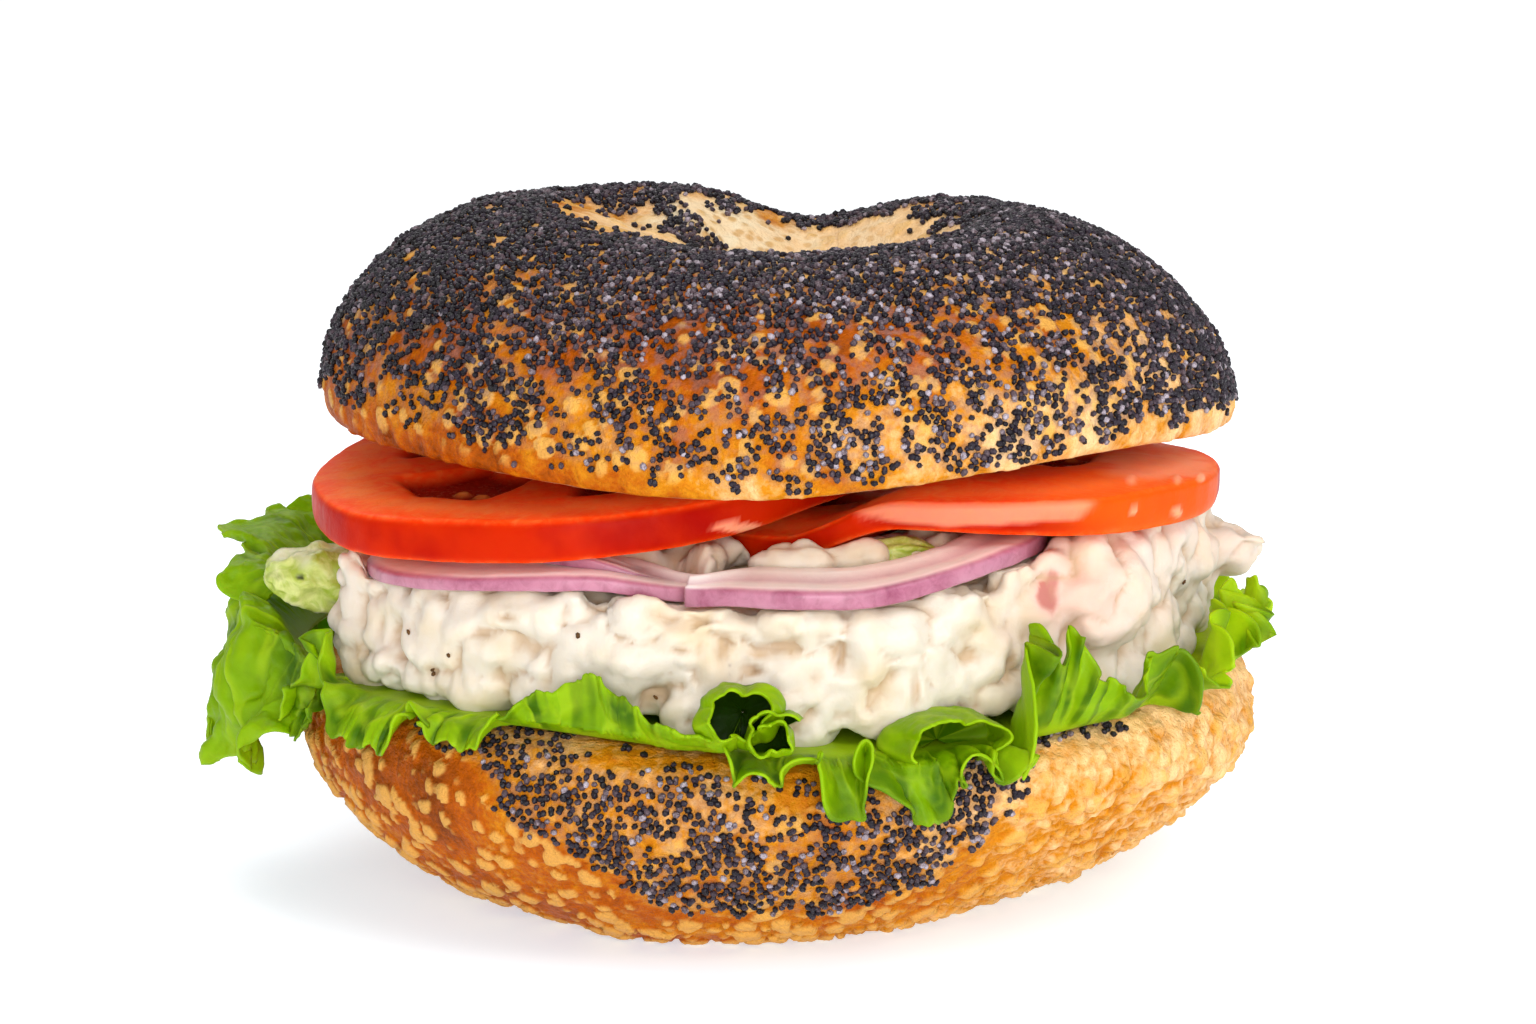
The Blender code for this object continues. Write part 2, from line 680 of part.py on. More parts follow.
def hanging_leaf(finish, stack):
    """The leaf at the left that arches out over the rim and hangs down in folds."""
    angle = np.radians(np.linspace(150, 206, 22))[:, None]
    root = LEAF_FOLD_RADIUS + 0.6
    rail = root + 3.3 + 9.0 * lobe(angle, 180, 15)
    folds = np.sin(angle * 27 + 0.6)
    ragged = 1.5 * np.sin(angle * 41 + 2)
    # Share of the way out to the rail, height, and how much the folds show
    out = np.array([[0.0, 0.4, 0.75, 0.95, 1.03, 0.97]])
    height = np.array([[29.6, 33.6, 35.4, 30.0, 22.0, 14.5]])
    loose = np.array([[0.0, 0.25, 0.6, 0.8, 1.0, 1.0]])
    short = 9.0 * (1 - lobe(angle, 183, 14))
    drop = np.array([[0.0, 0.0, 0.0, 0.2, 0.6, 1.0]])
    r = root + (rail - root) * out + 1.9 * folds * loose
    z = height + (short + ragged) * drop
    r = np.maximum(r, keep_clear(angle, r, z))
    leaf_object("lettuce_left_lower", r * np.cos(angle), r * np.sin(angle), z, finish, stack)


def standing_leaf(finish, stack):
    """The frill that stands up at the left, behind the piece of celery."""
    angle = np.radians(np.linspace(156, 184, 15))[:, None]
    folds = np.sin(angle * 34 + 1.0)
    out = np.array([[0.0, 0.2, 0.6, 1.0]])
    height = np.array([[34.2, 38.0, 42.0, 43.6]])
    reach = 4.0 + 6.0 * lobe(angle, 172, 9)
    r = LEAF_FOLD_RADIUS - 0.2 + reach * out + 1.4 * folds * out
    z = height + 1.2 * np.sin(angle * 34 + 2.4) * out
    leaf_object("lettuce_left_upper", r * np.cos(angle), r * np.sin(angle), z, finish, stack)


def main():
    for old in list(bpy.data.objects):
        bpy.data.objects.remove(old)
    stack = bpy.data.objects.new("stack", None)
    bpy.context.scene.collection.objects.link(stack)
    stack.location = (STACK_X * MM, STACK_Y * MM, 0)
    crust = material("crust", (0.68, 0.31, 0.06), 0.55)
    seed = material("poppy_seed", (0.02, 0.018, 0.025), 0.6)
    lettuce = material("lettuce", (0.16, 0.29, 0.01), 0.4)
    salad = material("salad", (0.85, 0.78, 0.66), 0.35)
    onion = material("onion", (0.68, 0.35, 0.45), 0.3)
    tomato = material("tomato", (0.72, 0.04, 0.01), 0.25)
    celery = material("celery", (0.45, 0.42, 0.12), 0.35)
    make_lower_half(crust, seed, stack)
    frill_leaf("lettuce_front", FRONT_EDGE, 60, lettuce, stack)
    frill_leaf("lettuce_right", RIGHT_EDGE, 34, lettuce, stack)
    frill_leaf("lettuce_back", BACK_EDGE, 32, lettuce, stack)
    hanging_leaf(lettuce, stack)
    standing_leaf(lettuce, stack)
    make_salad(salad, stack)
    make_celery_front(celery, stack)
    make_celery_left(celery, stack)
    for name in ONIONS:
        make_onion(name, onion, stack)
    make_tomato("tomato_left", 24, tomato, stack)
    make_tomato("tomato_right", 24, tomato, stack)
    make_tomato("tomato_back", 18, tomato, stack)
    make_upper_half(crust, seed, stack)


main()
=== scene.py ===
"""Looks for the bagel sandwich: crusts, poppy seeds, lettuce, chicken salad, onion and tomato.

Shapes are worked out in millimetres from the sandwich's own axis. Angles round it are in degrees,
counted from +X towards +Y, so -90 is the front. add_piece scales and moves them into the frame.
"""

import itertools
import logging
import math
from dataclasses import dataclass, field
from enum import Enum
from functools import partial
from typing import Any, Callable, Sequence

import bpy
import numpy as np
from mathutils import Matrix
from numpy.typing import NDArray


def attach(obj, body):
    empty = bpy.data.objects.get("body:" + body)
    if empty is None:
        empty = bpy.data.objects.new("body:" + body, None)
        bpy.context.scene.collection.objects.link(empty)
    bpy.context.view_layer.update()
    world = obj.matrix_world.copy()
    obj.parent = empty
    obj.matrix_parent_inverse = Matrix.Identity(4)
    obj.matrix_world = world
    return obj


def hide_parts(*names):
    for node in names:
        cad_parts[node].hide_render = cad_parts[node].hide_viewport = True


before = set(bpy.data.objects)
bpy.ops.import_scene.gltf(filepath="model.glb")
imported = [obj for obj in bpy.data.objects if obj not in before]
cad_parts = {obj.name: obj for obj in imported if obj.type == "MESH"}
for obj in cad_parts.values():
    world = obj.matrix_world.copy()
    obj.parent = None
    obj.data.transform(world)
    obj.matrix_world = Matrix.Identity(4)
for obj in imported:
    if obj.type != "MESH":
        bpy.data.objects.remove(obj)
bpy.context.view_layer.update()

LOG = logging.getLogger("bagel_sandwich")

Array = NDArray[np.float64]
Whole = NDArray[np.int64]
Colour = tuple[float, float, float, float]
Masks = dict[str, Array]
Sheet = tuple[Array, Masks, Sequence[Whole]]

MM = 0.001
AXIS = np.array([4.8, -0.2, 0.0])
TURN = np.array([[0.36, 0.48, -0.8], [-0.8, 0.6, 0.0], [0.48, 0.64, 0.6]])
FULL_TURN = 2 * math.pi
FAR_ABOVE = 99.0
WHITE: Colour = (1.0, 1.0, 1.0, 1.0)


class Slot(Enum):
    """The record's material slots."""

    CRUST = "crust"
    SEED = "poppy_seed"
    LETTUCE = "lettuce"
    SALAD = "salad"
    ONION = "onion"
    TOMATO = "tomato"
    CELERY = "celery"


# Numbers and noise


def srgb(*shares: int) -> Colour:
    """The renderer's linear colour for red, green and blue of 0 to 255, as seen on a screen."""
    part = np.array(shares) / 255
    return (*np.where(part <= 0.04045, part / 12.92, ((part + 0.055) / 1.055) ** 2.4).tolist(), 1.0)


def lobe(angle: Array, centre: float, width: float) -> Array:
    """A bump of height 1 at centre, width degrees wide: exp((cos(off centre) - 1) / width squared)."""
    return np.exp((np.cos(angle - math.radians(centre)) - 1) / math.radians(width) ** 2)


def lobes(angle: Array, base: Any, *each: tuple[float, float, float]) -> Array:
    """A number for each angle: a base with lobes added to it.

    Args:
        angle: Angles in radians.
        base: The number away from the lobes.
        each: Height, centre and width of each lobe, the last two in degrees.

    Returns:
        base + height * lobe for each of them.
    """
    total = base + 0 * angle
    for height, centre, width in each:
        total = total + height * lobe(angle, centre, width)
    return total


def bell(*ways: Array) -> Array:
    """1 where all ways are 0, falling off about 1 away: exp(-the sum of their squares)."""
    return np.exp(-sum(way**2 for way in ways))


def ease(value: Any, low: Any = 0.0, high: Any = 1.0) -> Array:
    """0 below low, 1 above high and a smooth S between: 3 t squared less 2 t cubed."""
    t = np.clip((np.asarray(value) - low) / (high - low), 0, 1)
    return t * t * (3 - 2 * t)


def soft_ramp(value: Array, softness: float) -> Array:
    """0 for negative values and the value for positive ones, with a soft bend between."""
    return softness * np.logaddexp(0, value / softness)


def signed_power(value: Array, power: float) -> Array:
    """The value's size to a power, with the value's sign."""
    return np.sign(value) * np.abs(value) ** power


def unit(vectors: Array) -> Array:
    """The vectors, each scaled to a length of 1."""
    return vectors / np.maximum(np.linalg.norm(vectors, axis=-1, keepdims=True), 1e-12)


def stacked(*parts: Any) -> Array:
    """Numbers and arrays spread to one shape, as the last axis of a new array."""
    return np.stack(np.broadcast_arrays(*parts), axis=-1)


def placed(angle: Any, r: Any, z: Any) -> Array:
    """Places at an angle in radians and a radius round the axis, and at a height."""
    return stacked(r * np.cos(angle), r * np.sin(angle), z)


def polar(x: Array, y: Array, centre: tuple[float, float]) -> tuple[Array, Array]:
    """Distance from a centre and angle round it, in radians."""
    return np.hypot(x - centre[0], y - centre[1]), np.arctan2(y - centre[1], x - centre[0])


def quarter(turn: Array, squareness: Any) -> tuple[Array, Array]:
    """A quarter of a rounded square: cos and sin of the turn to the power 2 / squareness."""
    return np.cos(turn).clip(0) ** (2 / squareness), np.sin(turn).clip(0) ** (2 / squareness)


def cell_number(cell: Whole, seed: int) -> Array:
    """Mixes the three indices of a cell and a seed by products, shifts and exclusive ors.

    Args:
        cell: Whole-number cells, with their three indices last.
        seed: Which of many patterns.

    Returns:
        A fixed number from 0 to 1 for each cell.
    """
    mask = 0xFFFFFFFF
    mixed = (cell[..., 0] * 73856093) ^ (cell[..., 1] * 19349663) ^ (cell[..., 2] * 83492791)
    mixed = (mixed ^ (seed * 40503)) & mask
    for _ in range(2):
        mixed = ((mixed ^ (mixed >> 15)) * 73244475) & mask
    return ((mixed ^ (mixed >> 16)) & 0xFFFFFF) / 0xFFFFFF


def noise(points: Array, size: float, seed: int = 0) -> Array:
    """Smooth noise: the numbers of each cell's corners, blended by eased distance.

    Args:
        points: Places, with x, y and z last.
        size: Distance between bumps, in millimetres.
        seed: Which of many patterns.

    Returns:
        Numbers from 0 to 1.
    """
    scaled = points / size
    cell = np.floor(scaled).astype(np.int64)
    part = ease(scaled - cell)
    total = np.zeros(points.shape[:-1])
    for corner in itertools.product((0, 1), repeat=3):
        share = np.prod(np.where(np.array(corner) == 1, part, 1 - part), axis=-1)
        total += share * cell_number(cell + np.array(corner), seed)
    return total


def swing(points: Array, size: float, seed: int) -> Array:
    """Smooth noise from -1 to 1."""
    return 2 * noise(points, size, seed) - 1


def turn_noise(angle: Array, rate: float, seed: int) -> Array:
    """Smooth noise from 0 to 1 along an angle, with rate bumps to a radian."""
    return noise(angle[..., None] * [rate, 0, 0], 1.0, seed)


def cloud(points: Array, size: float, layers: int, seed: int) -> Array:
    """Noise in layers, each half the size and weight of the one before and turned against it.

    Args:
        points: Places, with x, y and z last.
        size: Distance between the largest bumps, in millimetres.
        layers: How many layers.
        seed: Which of many patterns.

    Returns:
        Numbers from 0 to 1.
    """
    total = np.zeros(points.shape[:-1])
    weight, at = 1.0, points
    for layer in range(layers):
        total += weight * noise(at, size * 0.5**layer, seed + 17 * layer)
        weight *= 0.5
        at = at @ TURN.T + 31.7
    return total / (2 - 2 * weight)


def ripple(points: Array, size: float, layers: int, seed: int) -> Array:
    """A cloud from -0.5 to 0.5."""
    return cloud(points, size, layers, seed) - 0.5


def nudged(points: Array, by: float, size: float, seed: int) -> Array:
    """The places with x, y and z all moved by one ripple."""
    return points + by * ripple(points, size, 2, seed)[..., None]


def bent(points: Array, by: float, size: float, seed: int) -> Array:
    """The places with x, y and z each moved by a ripple of its own."""
    return points + by * stacked(*(ripple(points, size, 2, seed + k) for k in range(3)))


def pebbles(points: Array, size: float, seed: int) -> tuple[Array, Array, Array]:
    """A pattern of one random spot in each cell of a grid.

    Args:
        points: Places, with x, y and z last.
        size: The grid's cell, in millimetres.
        seed: Which of many patterns.

    Returns:
        Distance to the nearest spot and to the second nearest, in cells, and a number from 0 to
        1 that belongs to the nearest spot.
    """
    scaled = points / size
    cell = np.floor(scaled).astype(np.int64)
    nearest = np.full(points.shape[:-1], 9.0)
    second, tag = nearest.copy(), 0 * nearest
    for corner in itertools.product((-1, 0, 1), repeat=3):
        there = cell + np.array(corner)
        spot = there + stacked(*(cell_number(there, seed + k) for k in (1, 2, 3)))
        away = np.linalg.norm(scaled - spot, axis=-1)
        closer = away < nearest
        second = np.where(closer, nearest, np.minimum(second, away))
        tag = np.where(closer, cell_number(there, seed + 4), tag)
        nearest = np.minimum(nearest, away)
    return nearest, second, tag


# Meshes


def grid_faces(rows: int, columns: int, round_rows: bool, round_columns: bool) -> Whole:
    """Quads over a grid of points that may close on itself in either direction.

    Args:
        rows: Number of rows.
        columns: Number of columns, the direction whose points follow one another.
        round_rows: Whether the last row joins the first.
        round_columns: Whether the last column joins the first.

    Returns:
        One row of four point numbers for each quad.
    """
    i = np.arange(rows if round_rows else rows - 1)[:, None]
    j = np.arange(columns if round_columns else columns - 1)
    k, m = (i + 1) % rows, (j + 1) % columns
    return stacked(i * columns + j, k * columns + j, k * columns + m, i * columns + m).reshape(-1, 4)


def grid_normals(points: Array, round_rows: bool, round_columns: bool) -> Array:
    """Normals of a grid of points: the cross product of its steps along rows and columns.

    Args:
        points: Places in rows and columns, with x, y and z last.
        round_rows: Whether the last row joins the first.
        round_columns: Whether the last column joins the first.

    Returns:
        One unit vector for each point.
    """
    steps = []
    for axis, closed in enumerate((round_rows, round_columns)):
        around = np.roll(points, -1, axis) - np.roll(points, 1, axis)
        steps.append(around if closed else np.gradient(points, axis=axis))
    return unit(np.cross(*steps))


def capped(points: Array, masks: Masks, round_rows: bool) -> Sheet:
    """Closes a grid: it goes round in one direction and ends in a fan at either end of the other.

    Args:
        points: Places in rows and columns.
        masks: A number for each point, or for each column, under each mask's name.
        round_rows: Whether the rows go round. The columns do otherwise.

    Returns:
        Points with the middles of the two ends after them, masks that are 0 there, and faces.
    """
    grid = points.shape[:2]
    number = np.arange(grid[0] * grid[1]).reshape(grid)
    rings, ends = (number.T, points.swapaxes(0, 1)) if round_rows else (number, points)
    fans = []
    for pole, ring in enumerate((rings[0], rings[-1])):
        pair = (ring, np.roll(ring, -1))
        fans.append(stacked(number.size + pole, *(pair[::-1] if round_rows != bool(pole) else pair)))
    every = np.vstack([points.reshape(-1, 3), ends[[0, -1]].mean(axis=1)])
    padded = {name: np.append(np.broadcast_to(mask, grid), [0, 0]) for name, mask in masks.items()}
    return every, padded, [grid_faces(*grid, round_rows, not round_rows), np.concatenate(fans)]


def joined(sheets: Sequence[Sheet]) -> Sheet:
    """Several closed skins as one, with their points after one another.

    Args:
        sheets: Points, masks and faces of each.

    Returns:
        The same for all of them together.
    """
    starts = np.cumsum([0] + [len(points) for points, _, _ in sheets])
    faces = [part + start for (_, _, parts), start in zip(sheets, starts) for part in parts]
    masks = {key: np.concatenate([sheet[1][key] for sheet in sheets]) for key in sheets[0][1]}
    return np.vstack([points for points, _, _ in sheets]), masks, faces


def make_mesh(name: str, points: Array, faces: Sequence[Whole]) -> bpy.types.Mesh:
    """Puts points in metres and lists of equal-sided faces into a new mesh.

    Args:
        name: The mesh's name.
        points: Places, one to a row.
        faces: One array for each number of sides, with one face to a row.

    Returns:
        The mesh, smooth shaded.
    """
    mesh = bpy.data.meshes.new(name)
    corners = np.concatenate([part.ravel() for part in faces]).astype(np.int32)
    sides = np.concatenate([np.full(len(part), part.shape[1]) for part in faces])
    mesh.vertices.add(len(points))
    mesh.vertices.foreach_set("co", points.astype(np.float32).ravel())
    mesh.loops.add(len(corners))
    mesh.loops.foreach_set("vertex_index", corners)
    mesh.polygons.add(len(sides))
    mesh.polygons.foreach_set("loop_start", (np.cumsum(sides) - sides).astype(np.int32))
    mesh.update(calc_edges=True)
    mesh.validate()
    mesh.shade_smooth()
    return mesh


def add_object(name: str, data: Any) -> bpy.types.Object:
    """Puts a mesh, a light or a camera into the scene under a name."""
    made = bpy.data.objects.new(name, data)
    bpy.context.scene.collection.objects.link(made)
    return made


def add_piece(name: str, sheet: Sheet, finish: "Finish", slot: Slot, *stands_for: str) -> None:
    """Makes one piece of the sandwich, dresses it and sets it on the frame's body.

    Args:
        name: The piece's name.
        sheet: Its points in millimetres from the sandwich's axis, its masks and its faces.
        finish: What it is dressed in.
        slot: The record's material slot, which is only logged with the piece's triangles.
        stands_for: The CAD nodes that it replaces.
    """
    points, masks, faces = sheet
    mesh = make_mesh(name, (points.reshape(-1, 3) + AXIS) * MM, faces)
    for mask, values in masks.items():
        layer = mesh.attributes.new(mask, "FLOAT", "POINT")
        layer.data.foreach_set("value", np.asarray(values, np.float32).ravel())
    mesh.materials.append(finish.material())
    piece = add_object(name, mesh)
    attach(piece, "root")
    if stands_for:
        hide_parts(*stands_for)
    triangles = sum(len(part) * (part.shape[1] - 2) for part in faces)
    LOG.info("%s: %d triangles, %s", name, triangles, slot.value)


# Shaders


def arithmetic(operation: str, swapped: bool = False) -> Callable[["Socket", Any], "Socket"]:
    """Makes a method of Socket that adds one Math node.

    Args:
        operation: The node's operation.
        swapped: Whether the other value comes first.

    Returns:
        The method.
    """

    def method(self: "Socket", other: Any) -> "Socket":
        """Adds the node for this value and another."""
        pair = {0: other, 1: self} if swapped else {0: self, 1: other}
        return self.shader.node("ShaderNodeMath", {"operation": operation}, pair)

    return method


class Socket:
    """One value in a shader. Arithmetic on it adds the Math nodes that work it out."""

    __add__, __radd__ = arithmetic("ADD"), arithmetic("ADD", True)
    __sub__, __rsub__ = arithmetic("SUBTRACT"), arithmetic("SUBTRACT", True)
    __mul__, __rmul__ = arithmetic("MULTIPLY"), arithmetic("MULTIPLY", True)

    def __init__(self, shader: "Shader", output: bpy.types.NodeSocket) -> None:
        """Wraps an output socket of a shader."""
        self.shader = shader
        self.output = output

    def band(self, low: float, high: float) -> "Socket":
        """0 at low and 1 at high, with a smooth S between and no more outside."""
        settings = {"interpolation_type": "SMOOTHSTEP", "clamp": True}
        values = {0: self, 1: low, 2: high, 3: 0.0, 4: 1.0}
        return self.shader.node("ShaderNodeMapRange", settings, values)


class Shader:
    """A material under construction."""

    def __init__(self, name: str) -> None:
        """Starts a material with nothing in it."""
        self.material = bpy.data.materials.new(name)
        self.material.use_nodes = True
        self.tree = self.material.node_tree
        self.tree.nodes.clear()

    def node(self, kind: str, settings: dict[str, Any], values: dict[Any, Any], output: Any = 0) -> Socket:
        """Adds one node.

        Args:
            kind: The node's type.
            settings: Its settings, set first.
            values: A value or a link for each socket, by name or number.
            output: Which output to return.

        Returns:
            The output.
        """
        made = self.tree.nodes.new(kind)
        for name, value in settings.items():
            setattr(made, name, value)
        for key, value in values.items():
            if isinstance(value, Socket):
                self.tree.links.new(value.output, made.inputs[key])
            else:
                made.inputs[key].default_value = value
        return Socket(self, made.outputs[output])

    def mask(self, name: str) -> Socket:
        """The number that the mesh holds for each point under this name."""
        return self.node("ShaderNodeAttribute", {"attribute_name": name}, {}, "Fac")

    def place(self) -> Socket:
        """Where each point is, in metres."""
        return self.node("ShaderNodeTexCoord", {}, {}, "Object")

    def speckle(self, size: float, detail: float = 3.0, rough: float = 0.6, bend: float = 0.0) -> Socket:
        """Noise from 0 to 1, with bumps about size millimetres apart."""
        values = {"Scale": 1 / (size * MM), "Detail": detail, "Roughness": rough, "Distortion": bend}
        return self.node("ShaderNodeTexNoise", {}, {"Vector": self.place(), **values}, "Fac")

    def cells(self, size: float) -> Socket:
        """Distance to the nearest of spots about size millimetres apart, in sizes."""
        values = {"Vector": self.place(), "Scale": 1 / (size * MM)}
        return self.node("ShaderNodeTexVoronoi", {"feature": "F1"}, values, "Distance")

    def mix(self, factor: Any, first: Any, second: Any) -> Socket:
        """Colours mixed by a factor, which is 0 for the first and 1 for the second."""
        settings = {"data_type": "RGBA", "blend_type": "MIX"}
        return self.node("ShaderNodeMix", settings, {0: factor, 6: first, 7: second}, 2)

    def ramp(self, value: Socket, stops: Sequence[tuple[float, Colour]]) -> Socket:
        """A colour for each value, blended between stops.

        Args:
            value: The value.
            stops: Value and colour of each stop.

        Returns:
            The colour.
        """
        made = self.node("ShaderNodeValToRGB", {}, {"Fac": value}, "Color")
        elements = made.output.node.color_ramp.elements
        while len(elements) < len(stops):
            elements.new(0.5)
        for element, (position, colour) in zip(elements, stops):
            element.position = position
            element.color = colour
        return made

    def bump(self, height: Socket, depth: float, strength: float = 1.0) -> Socket:
        """A normal tilted by a height from 0 to 1 that stands for depth millimetres."""
        values = {"Height": height, "Distance": depth * MM, "Strength": strength}
        return self.node("ShaderNodeBump", {}, values, "Normal")

    def finish(self, colour: Any, rough: Any, specular: float, **more: Any) -> bpy.types.Material:
        """Ends the material with a Principled shader.

        Args:
            colour: Its base colour.
            rough: Its roughness.
            specular: How strongly it reflects.
            more: Other sockets, with underscores for spaces, and inside, which holds share, reach
                of red, green and blue, and scale in metres of the light that goes through.

        Returns:
            The material.
        """
        values = {"Base Color": colour, "Roughness": rough, "Specular IOR Level": specular}
        names = ("Subsurface Weight", "Subsurface Radius", "Subsurface Scale")
        values.update(zip(names, more.pop("inside", ())))
        values.update({key.replace("_", " "): value for key, value in more.items()})
        surface = self.node("ShaderNodeBsdfPrincipled", {}, values, "BSDF")
        output = self.tree.nodes.new("ShaderNodeOutputMaterial")
        self.tree.links.new(surface.output, output.inputs["Surface"])
        return self.material


class Finish:
    """What a piece is dressed in. Each kind is made once and shared."""

    made: dict[Any, bpy.types.Material] = {}

    def material(self) -> bpy.types.Material:
        """The material of this finish, built the first time it is asked for."""
        if self not in Finish.made:
            Finish.made[self] = self.build()
        return Finish.made[self]

    def build(self) -> bpy.types.Material:
        """Builds the material."""
        raise NotImplementedError


@dataclass(frozen=True)
class CrustFinish(Finish):
    """Baked bagel crust: gold and orange, pale blisters, grey dust and painted shade between dense seeds.

    It reads the masks tone (pale to orange), blister, the one of dust and painted shade, and crumb.
    """

    name: str = "crust"
    pale: Colour = srgb(246, 198, 138)
    gold: Colour = srgb(208, 130, 14)
    orange: Colour = srgb(176, 82, 0)
    brown: Colour = srgb(124, 56, 2)
    cream: Colour = srgb(230, 176, 88)
    # Grey of the dust and painted shade between dense seeds.
    seed_dust_and_shade: Colour = srgb(132, 112, 112)
    crumb: Colour = srgb(244, 226, 190)
    pore: Colour = srgb(206, 170, 118)

    def build(self) -> bpy.types.Material:
        """Colour by tone with fine mottling, then blisters, dust and painted shade, and crumb over it."""
        s = Shader(self.name)
        mottle, fine = s.speckle(4.0, 4.0), s.speckle(0.8)
        tone = s.mask("tone") + (mottle - 0.5) * 0.7 + (fine - 0.5) * 0.5
        colour = s.ramp(tone, [(0.0, self.pale), (0.38, self.gold), (0.72, self.orange), (1.0, self.brown)])
        blister = (s.mask("blister") + (fine - 0.5) * 0.4).band(0.2, 0.7)
        colour = s.mix(blister * 0.68, colour, self.cream)
        # Grey dust and painted shade between dense seeds, in specks.
        dust_and_shade = s.mask("seed_dust_and_shade") * s.speckle(1.3, 2.0).band(0.38, 0.62)
        colour = s.mix(dust_and_shade, colour, self.seed_dust_and_shade)
        pores = s.cells(1.6).band(0.2, 0.55)
        colour = s.mix(s.mask("crumb"), colour, s.mix(pores, self.pore, self.crumb))
        grain = fine * 0.5 + s.speckle(0.35, 2.0, 0.5) * 0.2 + mottle * 0.3
        rough = 0.5 + (fine - 0.5) * 0.3 + s.mask("crumb") * 0.2
        return s.finish(colour, rough, 0.08, Normal=s.bump(grain, 0.8))


@dataclass(frozen=True)
class SeedFinish(Finish):
    """Poppy seeds: blue-black to violet-brown, each with its own shade, and netted skins."""

    name: str = "poppy_seed"
    dark: Colour = srgb(14, 9, 13)
    slate: Colour = srgb(42, 33, 46)
    brown: Colour = srgb(92, 74, 80)
    grey: Colour = srgb(178, 166, 176)

    def build(self) -> bpy.types.Material:
        """A shade for each seed from its mask, over a fine net of bumps."""
        s = Shader(self.name)
        net = s.cells(0.24)
        shade = s.mask("shade") + (s.speckle(0.3, 2.0) - 0.5) * 0.5
        colour = s.ramp(shade, [(0.0, self.dark), (0.5, self.slate), (0.78, self.brown), (1.0, self.grey)])
        return s.finish(colour, 0.26 + net.band(0.0, 0.8) * 0.2, 0.3, Normal=s.bump(net, 0.1))


# Camera, lights and floor


